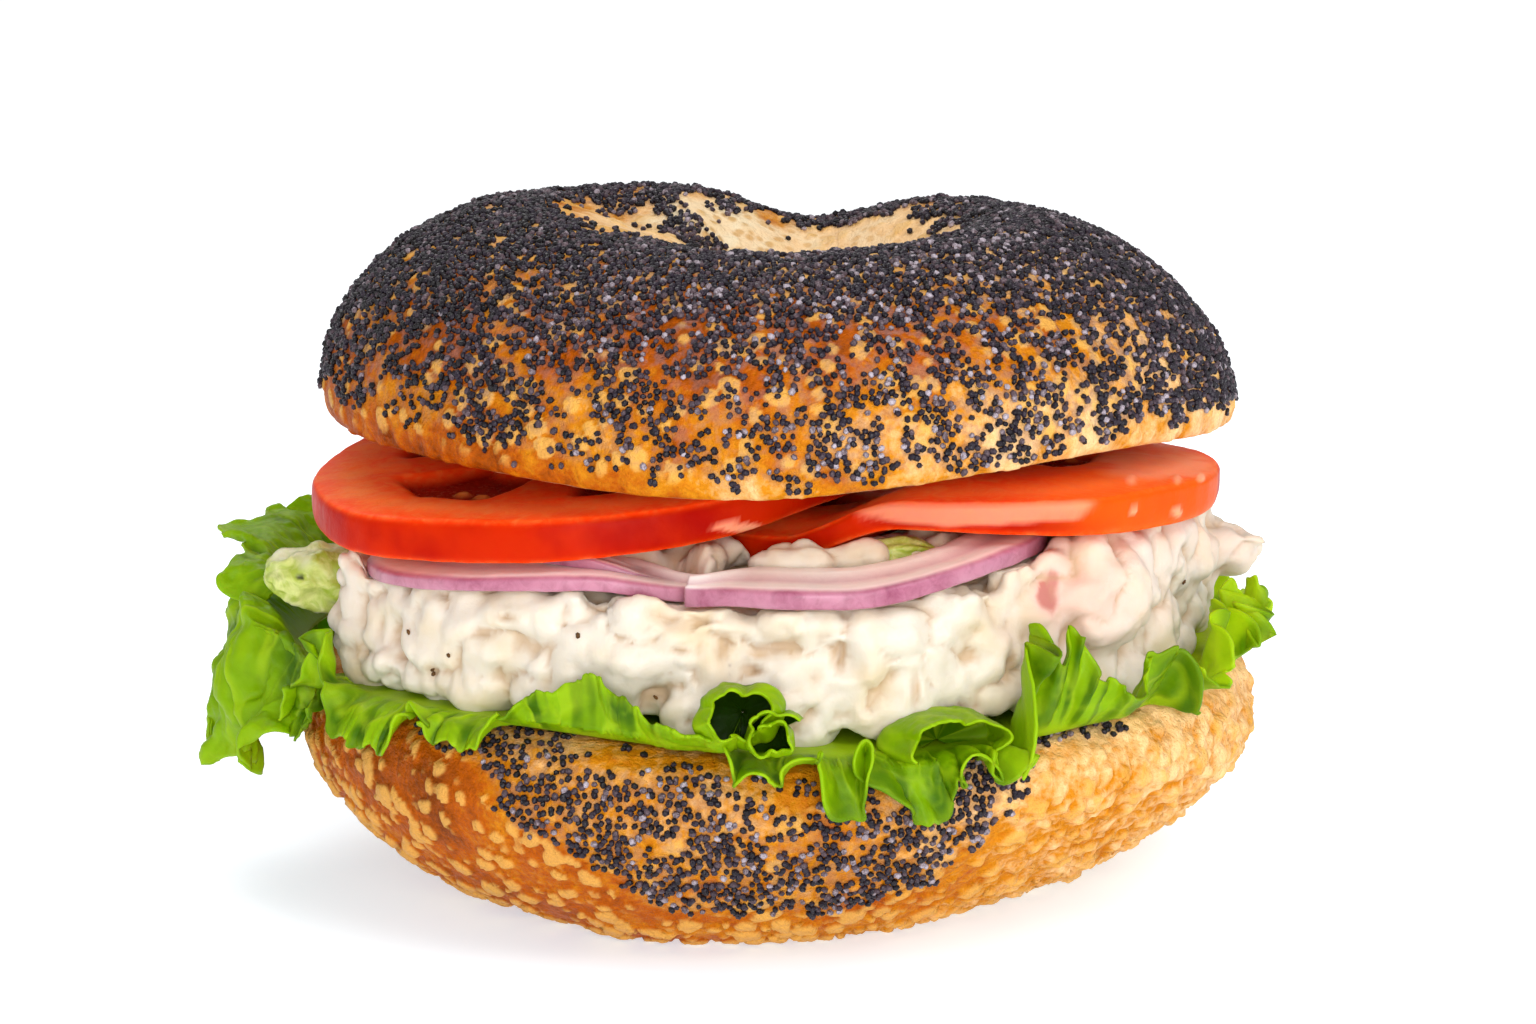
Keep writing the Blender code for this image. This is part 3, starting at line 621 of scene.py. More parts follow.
@dataclass
class Studio:
    """The camera that looks as the photograph does, soft lights and a pale floor."""

    place: tuple[float, float, float] = (0.0, -471.2, 120.64)
    pitch: float = 9.11
    focal_px: float = 3784.0
    image: tuple[int, int] = (1536, 1024)
    sensor: float = 36.0
    floor_pale: Colour = (0.72, 0.77, 0.81, 1.0)
    # Glow colour near the sandwich, a painted shadow round it.
    painted_floor_shadow: Colour = (0.66, 0.77, 0.85, 1.0)
    floor_glow: float = 0.68
    floor_reach: float = 12.0
    sky: float = 0.48

    def project(self, points: Array) -> tuple[Array, Array]:
        """Pixels at which points are seen: offset over depth along the pitched view.

        Args:
            points: Places in millimetres from the sandwich's axis, with x, y and z last.

        Returns:
            Pixels of the photograph to the right and down.
        """
        tilt = math.radians(self.pitch)
        ahead = points[..., 1] - self.place[1]
        below = self.place[2] - points[..., 2]
        depth = ahead * math.cos(tilt) + below * math.sin(tilt)
        down = below * math.cos(tilt) - ahead * math.sin(tilt)
        right = self.image[0] / 2 + self.focal_px * (points[..., 0] - self.place[0]) / depth
        return right, self.image[1] / 2 + self.focal_px * down / depth

    def meet(self, walls: Sequence[Array], r: Any, right: float, down: float) -> tuple[float, float]:
        """Where one pixel of the photograph falls on a wall round the axis.

        Args:
            walls: Angles in radians and heights of the wall's points.
            r: The wall's radius.
            right: Pixels to the right.
            down: Pixels down.

        Returns:
            Angle and height of the point seen nearest to the pixel.
        """
        at_right, at_down = self.project(placed(walls[0], r, walls[1]))
        best = np.argmin(np.hypot(at_right - right, at_down - down))
        return float(walls[0].flat[best]), float(walls[1].flat[best])

    def spot(self, points: Array, normals: Array, right: Any, down: Any, wide: float, tall: float) -> Array:
        """A soft mark on the points that face the camera round one pixel of the photograph.

        Args:
            points: Places in millimetres from the sandwich's axis.
            normals: Which way the surface faces there.
            right: Pixels to the right.
            down: Pixels down.
            wide: Half width in pixels.
            tall: Half height in pixels.

        Returns:
            1 in the mark's middle, falling off as a bell curve, and 0 where the surface turns away.
        """
        at_right, at_down = self.project(points)
        towards = unit(np.array(self.place) - points)
        facing = ease((normals * towards).sum(axis=-1), 0.0, 0.2)
        return facing * bell((at_right - right) / wide, (at_down - down) / tall)

    def add_camera(self) -> None:
        """Sets the camera at the photograph's viewing angle."""
        data = bpy.data.cameras.new("camera")
        data.sensor_width = self.sensor
        data.lens = self.focal_px * self.sensor / self.image[0]
        data.clip_start, data.clip_end = 0.01, 20.0
        camera = add_object("camera", data)
        camera.location = ((np.array(self.place) + AXIS) * MM).tolist()
        camera.rotation_euler = (math.radians(90 - self.pitch), 0, 0)
        bpy.context.scene.camera = camera

    @staticmethod
    def add_light(name: str, at: tuple[float, float, float], size: float, power: float) -> None:
        """Adds a square soft light that faces the sandwich.

        Args:
            name: The light's name.
            at: Where it hangs, in metres.
            size: Its side, in metres.
            power: Its power in watts.
        """
        data = bpy.data.lights.new(name, "AREA")
        data.size = size
        data.energy = power
        back = unit(np.array(at) - [0, 0, 0.04])
        across = unit(np.cross([0, 0, 1.0], back))
        turned = np.stack([across, np.cross(back, across), back], axis=1)
        add_object(name, data).matrix_world = Matrix.Translation(at) @ Matrix(turned.tolist()).to_4x4()

    def add_floor(self) -> None:
        """Adds a wide floor, a square that glows white away from the sandwich and less near it: painted
        shadow.
        """
        corners = np.array([[-1, -1, 0], [1, -1, 0], [1, 1, 0], [-1, 1, 0]]) * self.floor_reach
        mesh = make_mesh("floor", corners, [np.array([[0, 1, 2, 3]])])
        s = Shader("floor")
        away = s.node("ShaderNodeVectorMath", {"operation": "LENGTH"}, {0: s.place()}, "Value")
        # Painted shadow: the glow is weaker and bluer near the sandwich.
        colour = s.mix(away.band(0.045, 0.088), self.painted_floor_shadow, WHITE)
        glow = {"Emission_Color": colour, "Emission_Strength": self.floor_glow}
        mesh.materials.append(s.finish(self.floor_pale, 0.9, 0.1, **glow))
        floor = add_object("floor", mesh)

    def build(self) -> None:
        """Sets up the whole studio."""
        self.add_camera()
        self.add_floor()
        world = bpy.data.worlds.new("studio")
        world.use_nodes = True
        sky = world.node_tree.nodes["Background"].inputs
        sky["Color"].default_value = WHITE
        sky["Strength"].default_value = self.sky
        bpy.context.scene.world = world
        self.add_light("key", (0.42, -0.5, 0.62), 0.35, 2.6)
        self.add_light("front", (0.05, -0.9, 0.17), 0.45, 5.6)
        self.add_light("back", (-0.2, 0.5, 0.7), 0.5, 2.2)
        bpy.context.scene.view_settings.view_transform = "Standard"


# Bagel halves and their seeds


@dataclass
class Skin:
    """A grid of points that closes both ways, with its normals."""

    points: Array
    normals: Array

    def at(self, row: Array, column: Array) -> tuple[Array, Array]:
        """Points and normals between the grid's own, blended from the four round each.

        Args:
            row: Rows, which may be between two.
            column: Columns, which may be between two.

        Returns:
            The places and the unit normals.
        """
        rows, columns = self.points.shape[:2]
        i, j = np.floor(row).astype(int), np.floor(column).astype(int)
        u, v = (row - i)[:, None], (column - j)[:, None]
        i, j, k, m = i % rows, j % columns, (i + 1) % rows, (j + 1) % columns

        def blend(grid: Array) -> Array:
            """The four neighbours' blend of one grid."""
            near = grid[i, j] * (1 - u) + grid[k, j] * u
            return near * (1 - v) + (grid[i, m] * (1 - u) + grid[k, m] * u) * v

        return blend(self.points), unit(blend(self.normals))


@dataclass
class SeedScatter:
    """Poppy seeds: small kidney shapes, each sunk a little into the crust."""

    length: float = 1.02
    width: float = 0.82
    height: float = 0.74
    sink: float = 0.1
    seed: int = 5

    @staticmethod
    def grain() -> tuple[Array, Whole]:
        """A kidney: an icosahedron bent sideways by the square of its length.

        Returns:
            Its twelve points and twenty faces.
        """
        g = (1 + math.sqrt(5)) / 2
        points = [
            (-1, g, 0), (1, g, 0), (-1, -g, 0), (1, -g, 0), (0, -1, g), (0, 1, g),
            (0, -1, -g), (0, 1, -g), (g, 0, -1), (g, 0, 1), (-g, 0, -1), (-g, 0, 1),
        ]
        faces = [
            (0, 11, 5), (0, 5, 1), (0, 1, 7), (0, 7, 10), (0, 10, 11), (1, 5, 9), (5, 11, 4),
            (11, 10, 2), (10, 7, 6), (7, 1, 8), (3, 9, 4), (3, 4, 2), (3, 2, 6), (3, 6, 8),
            (3, 8, 9), (4, 9, 5), (2, 4, 11), (6, 2, 10), (8, 6, 7), (9, 8, 1),
        ]
        shape = unit(np.array(points, float))
        shape[:, 1] += 0.22 * (shape[:, 0] ** 2 - 0.4)
        return shape, np.array(faces)

    def sow(
        self, name: str, places: Array, normals: Array, finish: Finish = SeedFinish(), slot: Slot = Slot.SEED
    ) -> None:
        """Makes one piece of all the seeds at the given places.

        Args:
            name: The piece's name.
            places: Where each seed sits.
            normals: Which way the surface faces there.
            finish: What the seeds are dressed in.
            slot: The record's material slot for them.
        """
        count = len(places)
        spread = np.random.default_rng(self.seed)
        up = unit(normals + spread.normal(0, 0.22, (count, 3)))
        turn = spread.uniform(0, FULL_TURN, count)[:, None]
        across = unit(np.cross(up, [0.31, 0.52, 0.79]))
        along = across * np.cos(turn) + np.cross(up, across) * np.sin(turn)
        scale = spread.uniform(0.78, 1.12, (count, 1))
        half = 0.5 * np.array([self.length, self.width, self.height])
        frames = np.stack([along, np.cross(up, along), up], axis=1) * half[None, :, None] * scale[:, :, None]
        centre = places + normals * (scale * half[2] - self.sink)
        shape, faces = self.grain()
        points = centre[:, None, :] + np.einsum("pk,nkx->npx", shape, frames)
        every = faces[None] + len(shape) * np.arange(count)[:, None, None]
        # Painted light and shade: seeds lighter at the front and darker at the left front.
        painted_light_and_shade = lobes(np.arctan2(places[:, 1], places[:, 0]), 0, (0.08, -85, 30), (-0.12, -150, 28))
        shade = np.repeat((spread.beta(1.15, 1.7, count) + painted_light_and_shade).clip(0, 1), len(shape))
        add_piece(name, (points, {"shade": shade}, [every.reshape(-1, 3)]), finish, slot)


@dataclass
class BagelHalf:
    """What the two halves share: a ring whose section is a path, dressed in crust."""

    around: int = 700
    hole_radius: float = 8.0
    spacing: float = 0.83

    def angles(self) -> Array:
        """The grid's angles round the ring, in radians, as a column."""
        return np.linspace(0, FULL_TURN, self.around, endpoint=False)[:, None]

    @staticmethod
    def blisters(points: Array, size: float, seed: int, fewest: float) -> tuple[Array, Array]:
        """Small plates that baking raised, each of its own size and with a ragged outline.

        Args:
            points: Places on the crust.
            size: Distance between plates, in millimetres.
            seed: Which of many patterns.
            fewest: Share of the places that have none.

        Returns:
            How raised each point is, from 0 to 1, and the number of its plate.
        """
        near, second, tag = pebbles(bent(points, 0.5 * size, size, seed), size, seed)
        plate = ease(1 - near / (0.3 + 0.45 * tag), 0.0, 0.4) * ease(second - near, 0.04, 0.2)
        return plate * (tag > fewest), tag

    @staticmethod
    def even_turns(count: int, width: float, height: float, squareness: float) -> Array:
        """Turns of a quarter whose points are evenly spaced along its curve.

        Args:
            count: How many, with both ends.
            width: The quarter's width.
            height: The quarter's height.
            squareness: Its squareness.

        Returns:
            Turns in radians, looked up from the curve's length.
        """
        turn = np.linspace(0, math.pi / 2, 800)
        out, rise = quarter(turn, squareness)
        steps = np.hypot(np.diff(width * out), np.diff(height * rise))
        length = np.append(0, np.cumsum(steps))
        return np.interp(np.linspace(0, length[-1], count), length, turn)

    def lattice(self, skin: Skin, columns: tuple[int, int], seed: int) -> tuple[Array, Array]:
        """Places for seeds in staggered rows round the ring, each moved a little at random.

        Args:
            skin: The half's surface.
            columns: First and last column of the band to sow.
            seed: Which of many random patterns.

        Returns:
            Row and column of each place, between the grid's own.
        """
        spread = np.random.default_rng(seed)
        numbers = np.arange(columns[0], columns[1] + 1)
        length = np.linalg.norm(np.diff(skin.points[:, numbers], axis=1), axis=2).mean(axis=0)
        ways = np.append(0, np.cumsum(length))
        rungs = np.arange(0.5 * self.spacing, ways[-1], 0.88 * self.spacing)
        first = skin.at(np.zeros(len(rungs)), np.interp(rungs, ways, numbers))[0]
        radius = np.hypot(first[:, 0], first[:, 1])
        count = np.maximum((FULL_TURN * radius / self.spacing).astype(int), 6)
        rung = np.repeat(np.arange(len(rungs)), count)
        place = np.arange(len(rung)) - np.repeat(np.cumsum(count) - count, count)
        share = (place + 0.5 * (rung % 2) + spread.uniform(-0.34, 0.34, len(rung))) / count[rung]
        wander = spread.uniform(-0.34, 0.34, len(rung)) * self.spacing
        return share % 1.0 * self.around, np.interp(rungs[rung] + wander, ways, numbers)

    def seeded(
        self,
        skin: Skin,
        cover: Array,
        columns: tuple[int, int],
        clumps: tuple[float, float],
        seeds: tuple[int, int],
    ) -> tuple[Array, Array]:
        """Chooses seeds so that they gather in clumps and cover the share that is asked for.

        Args:
            skin: The half's surface.
            cover: The share to keep round each point, from 0 to 1.
            columns: First and last column of the band to sow.
            clumps: Sizes of the large and the small clumps, in millimetres.
            seeds: Which of many random patterns, for the places and for the choice.

        Returns:
            Places and normals where the place's rank in a mix of noise and luck is below its share.
        """
        row, column = self.lattice(skin, columns, seeds[0])
        place, normal = skin.at(row, column)
        share = Skin(cover[..., None], skin.normals).at(row, column)[0][:, 0]
        luck = np.random.default_rng(seeds[1]).uniform(0, 1, len(place))
        score = noise(place, clumps[0], seeds[1]) + 0.7 * noise(place, clumps[1], seeds[1] + 1) + 0.45 * luck
        kept = np.argsort(np.argsort(score)) / len(score) < share
        return place[kept], normal[kept]

    def dress(self, name: str, points: Array, masks: Masks) -> None:
        """Makes the crust's piece, which replaces the solid of the same half."""
        sheet = (points, masks, [grid_faces(*points.shape[:2], True, True)])
        add_piece("crust_" + name, sheet, CrustFinish(), Slot.CRUST, "bagel_" + name)


@dataclass
class TopHalf(BagelHalf):
    """The upper half: a seeded dome with a funnel in the middle, cut flat underneath."""

    centre_x: float = 1.7
    radius: float = 57.1
    cut_z: float = 57.0
    crest_radius: float = 30.0
    crest_z: float = 83.3
    hole_shift: tuple[float, float] = (3.0, 1.0)
    corner: float = 1.4
    band: float = 3.0
    foot_z: float = 66.0
    columns: tuple[int, int, int, int, int] = (10, 8, 84, 34, 5)

    def cut(self, angle: Array, r: Any) -> Array:
        """Height of the cut face, whose rim sags at the front and lifts at its right."""
        rim = lobes(angle, 0.8, (-2.4, -97, 22), (1.2, -45, 22), (-1, 5, 25))
        return self.cut_z + (r / self.radius) ** 3 * rim

    def surface(self, angle: Array) -> Array:
        """Points of the smooth half: face, cut rim, dome, funnel and hole, as one closed path.

        Args:
            angle: Angles round the ring, as a column.

        Returns:
            Places, with rows round the ring and columns along the path.
        """
        face, edge, dome, funnel, wall = self.columns
        hole, ring = self.hole_radius, self.crest_radius
        uneven = 0.5 * np.sin(3 * angle) + 0.4 * np.sin(4 * angle + 2)
        radius = lobes(angle, self.radius + uneven, (-1.1, 0, 30), (-0.4, 180, 30))
        crest = lobes(angle, self.crest_z, (1.7, 165, 40), (-0.5, 35, 30), (-3.5, -94, 42), (-4, 82, 15))
        rim = self.cut(angle, radius)
        face_r = hole + (radius - self.corner - hole) * np.linspace(0, 1, face, endpoint=False)
        turn = np.linspace(0, math.pi / 2, edge, endpoint=False)
        edge_r = radius - self.corner + self.corner * np.sin(turn)
        edge_z = rim + self.band * (1 - np.cos(turn))
        squareness = lobes(angle, 2.15, (-0.42, 0, 42), (-0.12, 180, 40))
        out, rise = quarter(self.even_turns(dome, 27, 24, 2.1), squareness)
        dome_r = ring + (radius - ring) * out
        dome_z = rim + self.band + (crest - rim - self.band) * rise
        out, rise = quarter(self.even_turns(funnel, 22, 17, 1.7)[-2::-1], 1.7)
        funnel_r = ring - (ring - hole) * out + 0 * angle
        funnel_z = self.foot_z + (crest - self.foot_z) * rise
        down = np.linspace(0, 1, wall + 2)[1:-1]
        wall_z = self.foot_z + (self.cut(angle, hole) - self.foot_z) * down
        r = np.hstack([face_r, edge_r, dome_r, funnel_r, hole + 0 * wall_z])
        z = np.hstack([self.cut(angle, face_r), edge_z, dome_z, funnel_z, wall_z])
        inward = np.clip((ring - r) / (ring - hole), 0, 1)
        x = self.centre_x + r * np.cos(angle) + self.hole_shift[0] * inward
        y = r * np.sin(angle) + self.hole_shift[1] * inward
        dents = 1.6 * bell((x + 11) / 3, (y - 15) / 9) - 3.2 * bell((x + 20) / 7, (y - 12) / 9)
        return stacked(x, y, z + ease(z, self.foot_z - 3, self.foot_z + 9) * dents)

    @staticmethod
    def seed_cover(points: Array, angle: Array, rise: Array, inside: Array, studio: Studio) -> Array:
        """Share of the crust that seeds cover.

        Args:
            points: Places on the crust.
            angle: Their angles round the ring, in radians.
            rise: How high they are, from 0 at the cut rim to 1 at the crest.
            inside: How far they are into the funnel, from 0 at the crest to 1 at the hole.
            studio: The camera, which sees a bare hollow beside the hole and a seeded ridge between.

        Returns:
            0 for bare to 1 for covered: sparse low down at the left and the front, dense above and
            at the right, bare along the rim, in the hollow and in the hole.
        """
        low = lobes(angle, 0.56, (0.06, -75, 30), (0.24, -12, 35), (0.1, 90, 50))
        full = lobes(angle, 0.96, (0.03, -80, 25))
        turn = lobes(angle, 0.4, (0.08, -88, 22), (-0.28, -5, 30), (-0.22, -150, 28))
        patchy = ripple(points, 8.0, 3, 11) * 0.5
        cover = low + (full - low) * ease(rise + patchy, turn - 0.1, turn + 0.3)
        near, _, tag = pebbles(nudged(points, 1.6, 2.0, 37) * [0.8, 0.8, 1.1], 2.3, 29)
        fleck = (1 - ease(near, 0.2 + 0.12 * tag, 0.38 + 0.12 * tag)) * (tag > 0.42)
        cover = cover * (1 - 0.9 * fleck * (1 - 0.8 * ease(rise, 0.4, 0.7)))
        bare = lobes(angle, 0.04, (0.05, -160, 28), (-0.03, -80, 18), (0.02, -15, 22))
        cover = cover * ease(rise + ripple(points, 4.0, 2, 23) * 0.08, bare, bare + 0.07)
        rough = ripple(points, 5.0, 3, 31) * 0.6
        brink = lobes(angle, 0.16, (-0.12, 95, 45))
        blots = 0.4 * (cloud(points * [0.6, 1, 1], 3.0, 2, 67) > 0.6) * (1 - ease(inside, 0.2, 0.5))
        cover = cover * (1 - ease(inside + rough * 0.7, brink, brink + 0.16))
        cover = np.maximum(cover, blots * (inside > 0.05))
        right, down = studio.project(points)
        high = ease(rise, 0.7, 0.8)
        ridge = np.abs(right - 678 - 0.8 * (down - 215) + rough * 20)
        cover = np.maximum(cover, 0.9 * high * (1 - ease(ridge, 14, 24)) * (down < 252))
        along = (right - 598) * 0.963 + (down - 218) * 0.268
        across = (down - 218) * 0.963 - (right - 598) * 0.268
        return cover * (1 - 0.95 * ease(bell(along / 52, across / 13) * high + rough * 0.5, 0.34, 0.5))

    def build(self, studio: Studio) -> None:
        """Makes the crust, raised along its normals by lumps, blisters and pleats, and its seeds.

        Args:
            studio: The camera, for where the seeds go.
        """
        angle = self.angles()
        smooth = self.surface(angle)
        face, edge, dome, funnel, wall = self.columns
        crest, foot = face + edge + dome, face + edge + dome + funnel
        column = np.arange(smooth.shape[1]) + 0 * angle
        rise = np.clip((column - face) / (edge + dome), 0, 1)
        inside = np.clip((column - crest) / (funnel - 1), 0, 1)
        outside = ease(column, face - 1, face + 4) * (1 - ease(column, foot, foot + wall))
        cover = self.seed_cover(smooth, angle, rise, inside, studio)
        raised, tag = self.blisters(smooth, 2.8, 3, 0.3)
        wrinkle = ripple(smooth * [1, 1, 0.6], 2.4, 3, 7)
        pleats = (noise(smooth * [1, 1, 0.12], 1.5, 17) - 0.5) * (1 - ease(rise, 0.02, 0.16))
        lift = 0.9 * ripple(smooth, 13.0, 2, 9) + 0.3 * raised + 0.6 * wrinkle + 0.9 * pleats
        crumb = 1 - ease(column, face - 2, face + 1)
        ragged = ripple(smooth, 1.6, 2, 41) * 0.5 * crumb * (column > 1)
        points = smooth + grid_normals(smooth, True, True) * (lift * outside + ragged)[..., None]
        tone = 0.42 + 0.3 * lobe(angle, -90, 28) * ease(rise, 0.15, 0.4) * (1 - ease(rise, 0.6, 0.9))
        tone = tone + ripple(smooth, 9.0, 3, 51) * 0.8 - 0.26 * lobe(angle, -20, 40) - 0.5 * pleats
        tone = tone + 0.44 * lobe(angle, -150, 30) * (1 - rise) ** 2 - 0.1 * ease(rise, 0.5, 0.9)
        pit = ease(inside + ripple(smooth, 4.0, 2, 63) * 0.4, 0.05, 0.3)
        bready = pit * (lobes(angle, 0.16, (0.5, 118, 26)) + 0.3 * ease(cloud(smooth, 3.0, 2, 69), 0.5, 0.7))
        masks = {
            # Paler inside the funnel: painted light where the lamps reach little.
            "tone": tone * (1 - 0.6 * pit) - 0.15 * pit,
            "blister": raised * (0.4 + 0.6 * tag) * ease(rise, 0.02, 0.12),
            # Grey dust and painted shade between the seeds where they lie densely.
            "seed_dust_and_shade": np.clip(cover * 1.25 - 0.5, 0, 0.5),
            "crumb": np.maximum(crumb, bready),
        }
        self.dress("top", points, masks)
        skin = Skin(points, grid_normals(points, True, True))
        place, normal = self.seeded(skin, cover, (face + 4, foot - 12), (1.9, 1.1), (77, 61))
        front = place[:, 1] < 0
        SeedScatter(seed=5).sow("seeds_top_front", place[front], normal[front])
        SeedScatter(seed=6).sow("seeds_top_back", place[~front], normal[~front])


@dataclass
class BottomHalf(BagelHalf):
    """The lower half: a blistered bowl of crust with a patch of seeds at the front."""

    spacing: float = 0.96
    centre_x: float = 1.0
    radius: float = 60.3
    widest_z: float = 20.0
    cut_radius: float = 54.0
    cut_z: float = 27.0
    foot_radius: float = 36.0
    foot_inner: float = 20.0
    columns: tuple[int, int, int, int, int] = (6, 76, 26, 10, 14)

    def cut(self, angle: Array, r: Any) -> Array:
        """Height of the cut face, which is higher at the right and the left front."""
        rim = lobes(angle, 0, (3, 0, 35), (1.5, -130, 20), (-2.2, -75, 30))
        return self.cut_z + (r / self.radius) ** 2 * rim

    def surface(self, angle: Array) -> Array:
        """Points of the smooth half: foot, side, shoulder, cut face and hole, as one closed path.

        Args:
            angle: Angles round the ring, as a column.

        Returns:
            Places, with rows round the ring and columns along the path.
        """
        foot_steps, side, shoulder, face, hole = self.columns
        uneven = 0.7 * np.sin(3 * angle + 1) + 0.5 * np.sin(5 * angle)
        radius = lobes(angle, self.radius + uneven, (-1, 0, 20))
        cut = self.cut(angle, self.cut_radius)
        foot = lobes(angle, self.foot_radius, (2.5, -95, 22), (-4, -45, 30))
        foot_r = self.foot_inner + (foot - self.foot_inner) * np.linspace(0, 1, foot_steps, endpoint=False)
        out, rise = quarter(self.even_turns(side, 24, 20, 1.5), lobes(angle, 1.55, (-0.3, -48, 26)))
        side_r, side_z = foot + (radius - foot) * rise, self.widest_z * (1 - out)
        out, rise = quarter(self.even_turns(shoulder, 6.3, 7, 2.1)[1:], 2.1)
        shoulder_r = self.cut_radius + (radius - self.cut_radius) * out
        shoulder_z = self.widest_z + (cut - self.widest_z) * rise
        share = np.linspace(0, 1, face + 1)[1:]
        face_r = self.cut_radius + (self.hole_radius + 1 - self.cut_radius) * share + 0 * angle
        ways = [0, 1.8, 19.3, 26.5, 35.0]
        along = np.linspace(0, ways[-1], hole, endpoint=False)[1:]
        hole_r = np.interp(along, ways, [9.0, 8.0, 8.0, 12.0, 20.0]) + 0 * angle
        hole_z = np.interp(along, ways, [27.0, 25.5, 8.0, 2.0, 0.0]) + 0 * angle
        r = np.hstack([foot_r, side_r, shoulder_r, face_r, hole_r])
        z = np.hstack([0 * foot_r, side_z, shoulder_z, self.cut(angle, face_r), hole_z])
        return placed(angle, r, z) + [self.centre_x, 0, 0]

    @staticmethod
    def seed_cover(points: Array, studio: Studio) -> Array:
        """Share of the crust that seeds cover.

        Args:
            points: Places on the crust.
            studio: The camera, in whose picture the patch is a wedge that narrows downwards.

        Returns:
            0 for bare to 1 for covered. The back wears the front's patch, mirrored.
        """
        right, down = studio.project(stacked(points[..., 0], -np.abs(points[..., 1]), points[..., 2]))
        ragged = ripple(points, 5.0, 3, 71) * 60
        steps = ([700, 725, 770, 830, 870, 900, 925], [380, 405, 470, 515, 590, 620, 700])
        left_edge = np.interp(down, *steps)
        steps = ([730, 745, 800, 850, 880, 912, 925], [1075, 1060, 1022, 962, 930, 830, 790])
        right_edge = np.interp(down, *steps)
        wedge = ease(right - left_edge + ragged, -8, 16) * ease(right_edge - right + ragged * 0.7, -8, 16)
        dense = bell((right - 590 - (down - 790) * 1.1) / 110, (down - 795) / 70)
        rising = bell((right - 950 + (down - 800) * 1.6) / 60, (down - 800) / 60)
        open_middle = bell((right - 800) / 75, (down - 778) / 34)
        shelf = ease(right - 560, 0, 60) * ease(880 - right, 0, 60) * ease(778 - down, 0, 14)
        cover = wedge * (0.6 + 0.36 * dense + 0.32 * rising - 0.4 * open_middle) * (1 - 0.92 * shelf)
        cover = cover * ease(916 - down + ragged * 0.3, 0, 10)
        strays = 0.8 * bell((right - 1098) / 22, (down - 732) / 8)
        return np.clip(np.maximum(cover, strays), 0, 0.92)

    def build(self, studio: Studio) -> None:
        """Makes the crust, raised along its normals by blisters, creases and cobbles, and its seeds.

        Args:
            studio: The camera, for where the seeds go.
        """
        angle = self.angles()
        smooth = self.surface(angle)
        foot, side, shoulder, face, _ = self.columns
        widest, ledge = foot + side, foot + side + shoulder
        column = np.arange(smooth.shape[1]) + 0 * angle
        crust = ease(column, foot, foot + 9) * (1 - ease(column, ledge - 3, ledge + 2))
        cover = self.seed_cover(smooth, studio) * (column < ledge - 1)
        peach = lobes(angle, 0, (1, -25, 42), (0.6, 120, 40))
        large, large_tag = self.blisters(smooth * [1, 1, 0.85], 3.1, 13, 0.3)
        small, small_tag = self.blisters(smooth * [1, 1, 0.8], 1.9, 23, 0.2)
        high = ease(column, widest + 2, ledge - 4)
        blister = np.maximum(large * (0.4 + 0.6 * large_tag), 0.75 * small * small_tag)
        blister = blister * (1 - 0.6 * cover) * (1 - 0.75 * high)
        crease = np.abs(ripple(smooth * [1, 1, 0.9], 3.0, 4, 83)) * 2
        near, second, tag = pebbles(smooth * [1, 1, 0.8] + (crease[..., None] - 0.5) * 1.2, 2.1, 33)
        cobble = ease(second - near, 0.0, 0.5) * (0.4 + 0.6 * tag)
        rough = (0.2 + 0.8 * peach) * (1 - high * 0.5)
        lift = 0.9 * ripple(smooth, 14.0, 2, 19) + 0.85 * blister
        lift = lift + rough * (0.6 * (crease - 0.25) + 0.5 * (cobble - 0.4))
        points = smooth + grid_normals(smooth, True, True) * (lift * crust)[..., None]
        points[..., 2] = np.maximum(points[..., 2], 0.0)
        tone = 0.86 - 0.72 * peach + ripple(smooth, 10.0, 3, 91) * 0.5
        tone = tone - 0.4 * rough * peach * (crease + cobble - 0.8)
        tone = tone * (1 - 0.52 * high) + 0.03 * high - 0.12 * (1 - ease(smooth[..., 2], 1, 7)) - 0.25 * cover
        tone = tone + 0.08 * lobe(angle, -45, 26) * (1 - ease(smooth[..., 2], 8, 22))
        tone = tone - 0.16 * lobe(angle, 0, 24)
        masks = {
            "tone": tone,
            "blister": np.clip(blister * 1.2, 0, 1) * (1 - 0.4 * peach),
            # Grey dust and painted shade between the seeds where they lie densely.
            "seed_dust_and_shade": np.clip(cover - 0.4, 0, 0.3),
            "crumb": ease(column, ledge - 1, ledge + 2) * (1 - ease(column, ledge + face - 2, ledge + face)),
        }
        self.dress("bottom", points, masks)
        skin = Skin(points, grid_normals(points, True, True))
        place, normal = self.seeded(skin, cover, (foot + 9, ledge - 1), (2.4, 1.2), (87, 63))
        SeedScatter(seed=8).sow("seeds_bottom", place, normal)


# Fillings


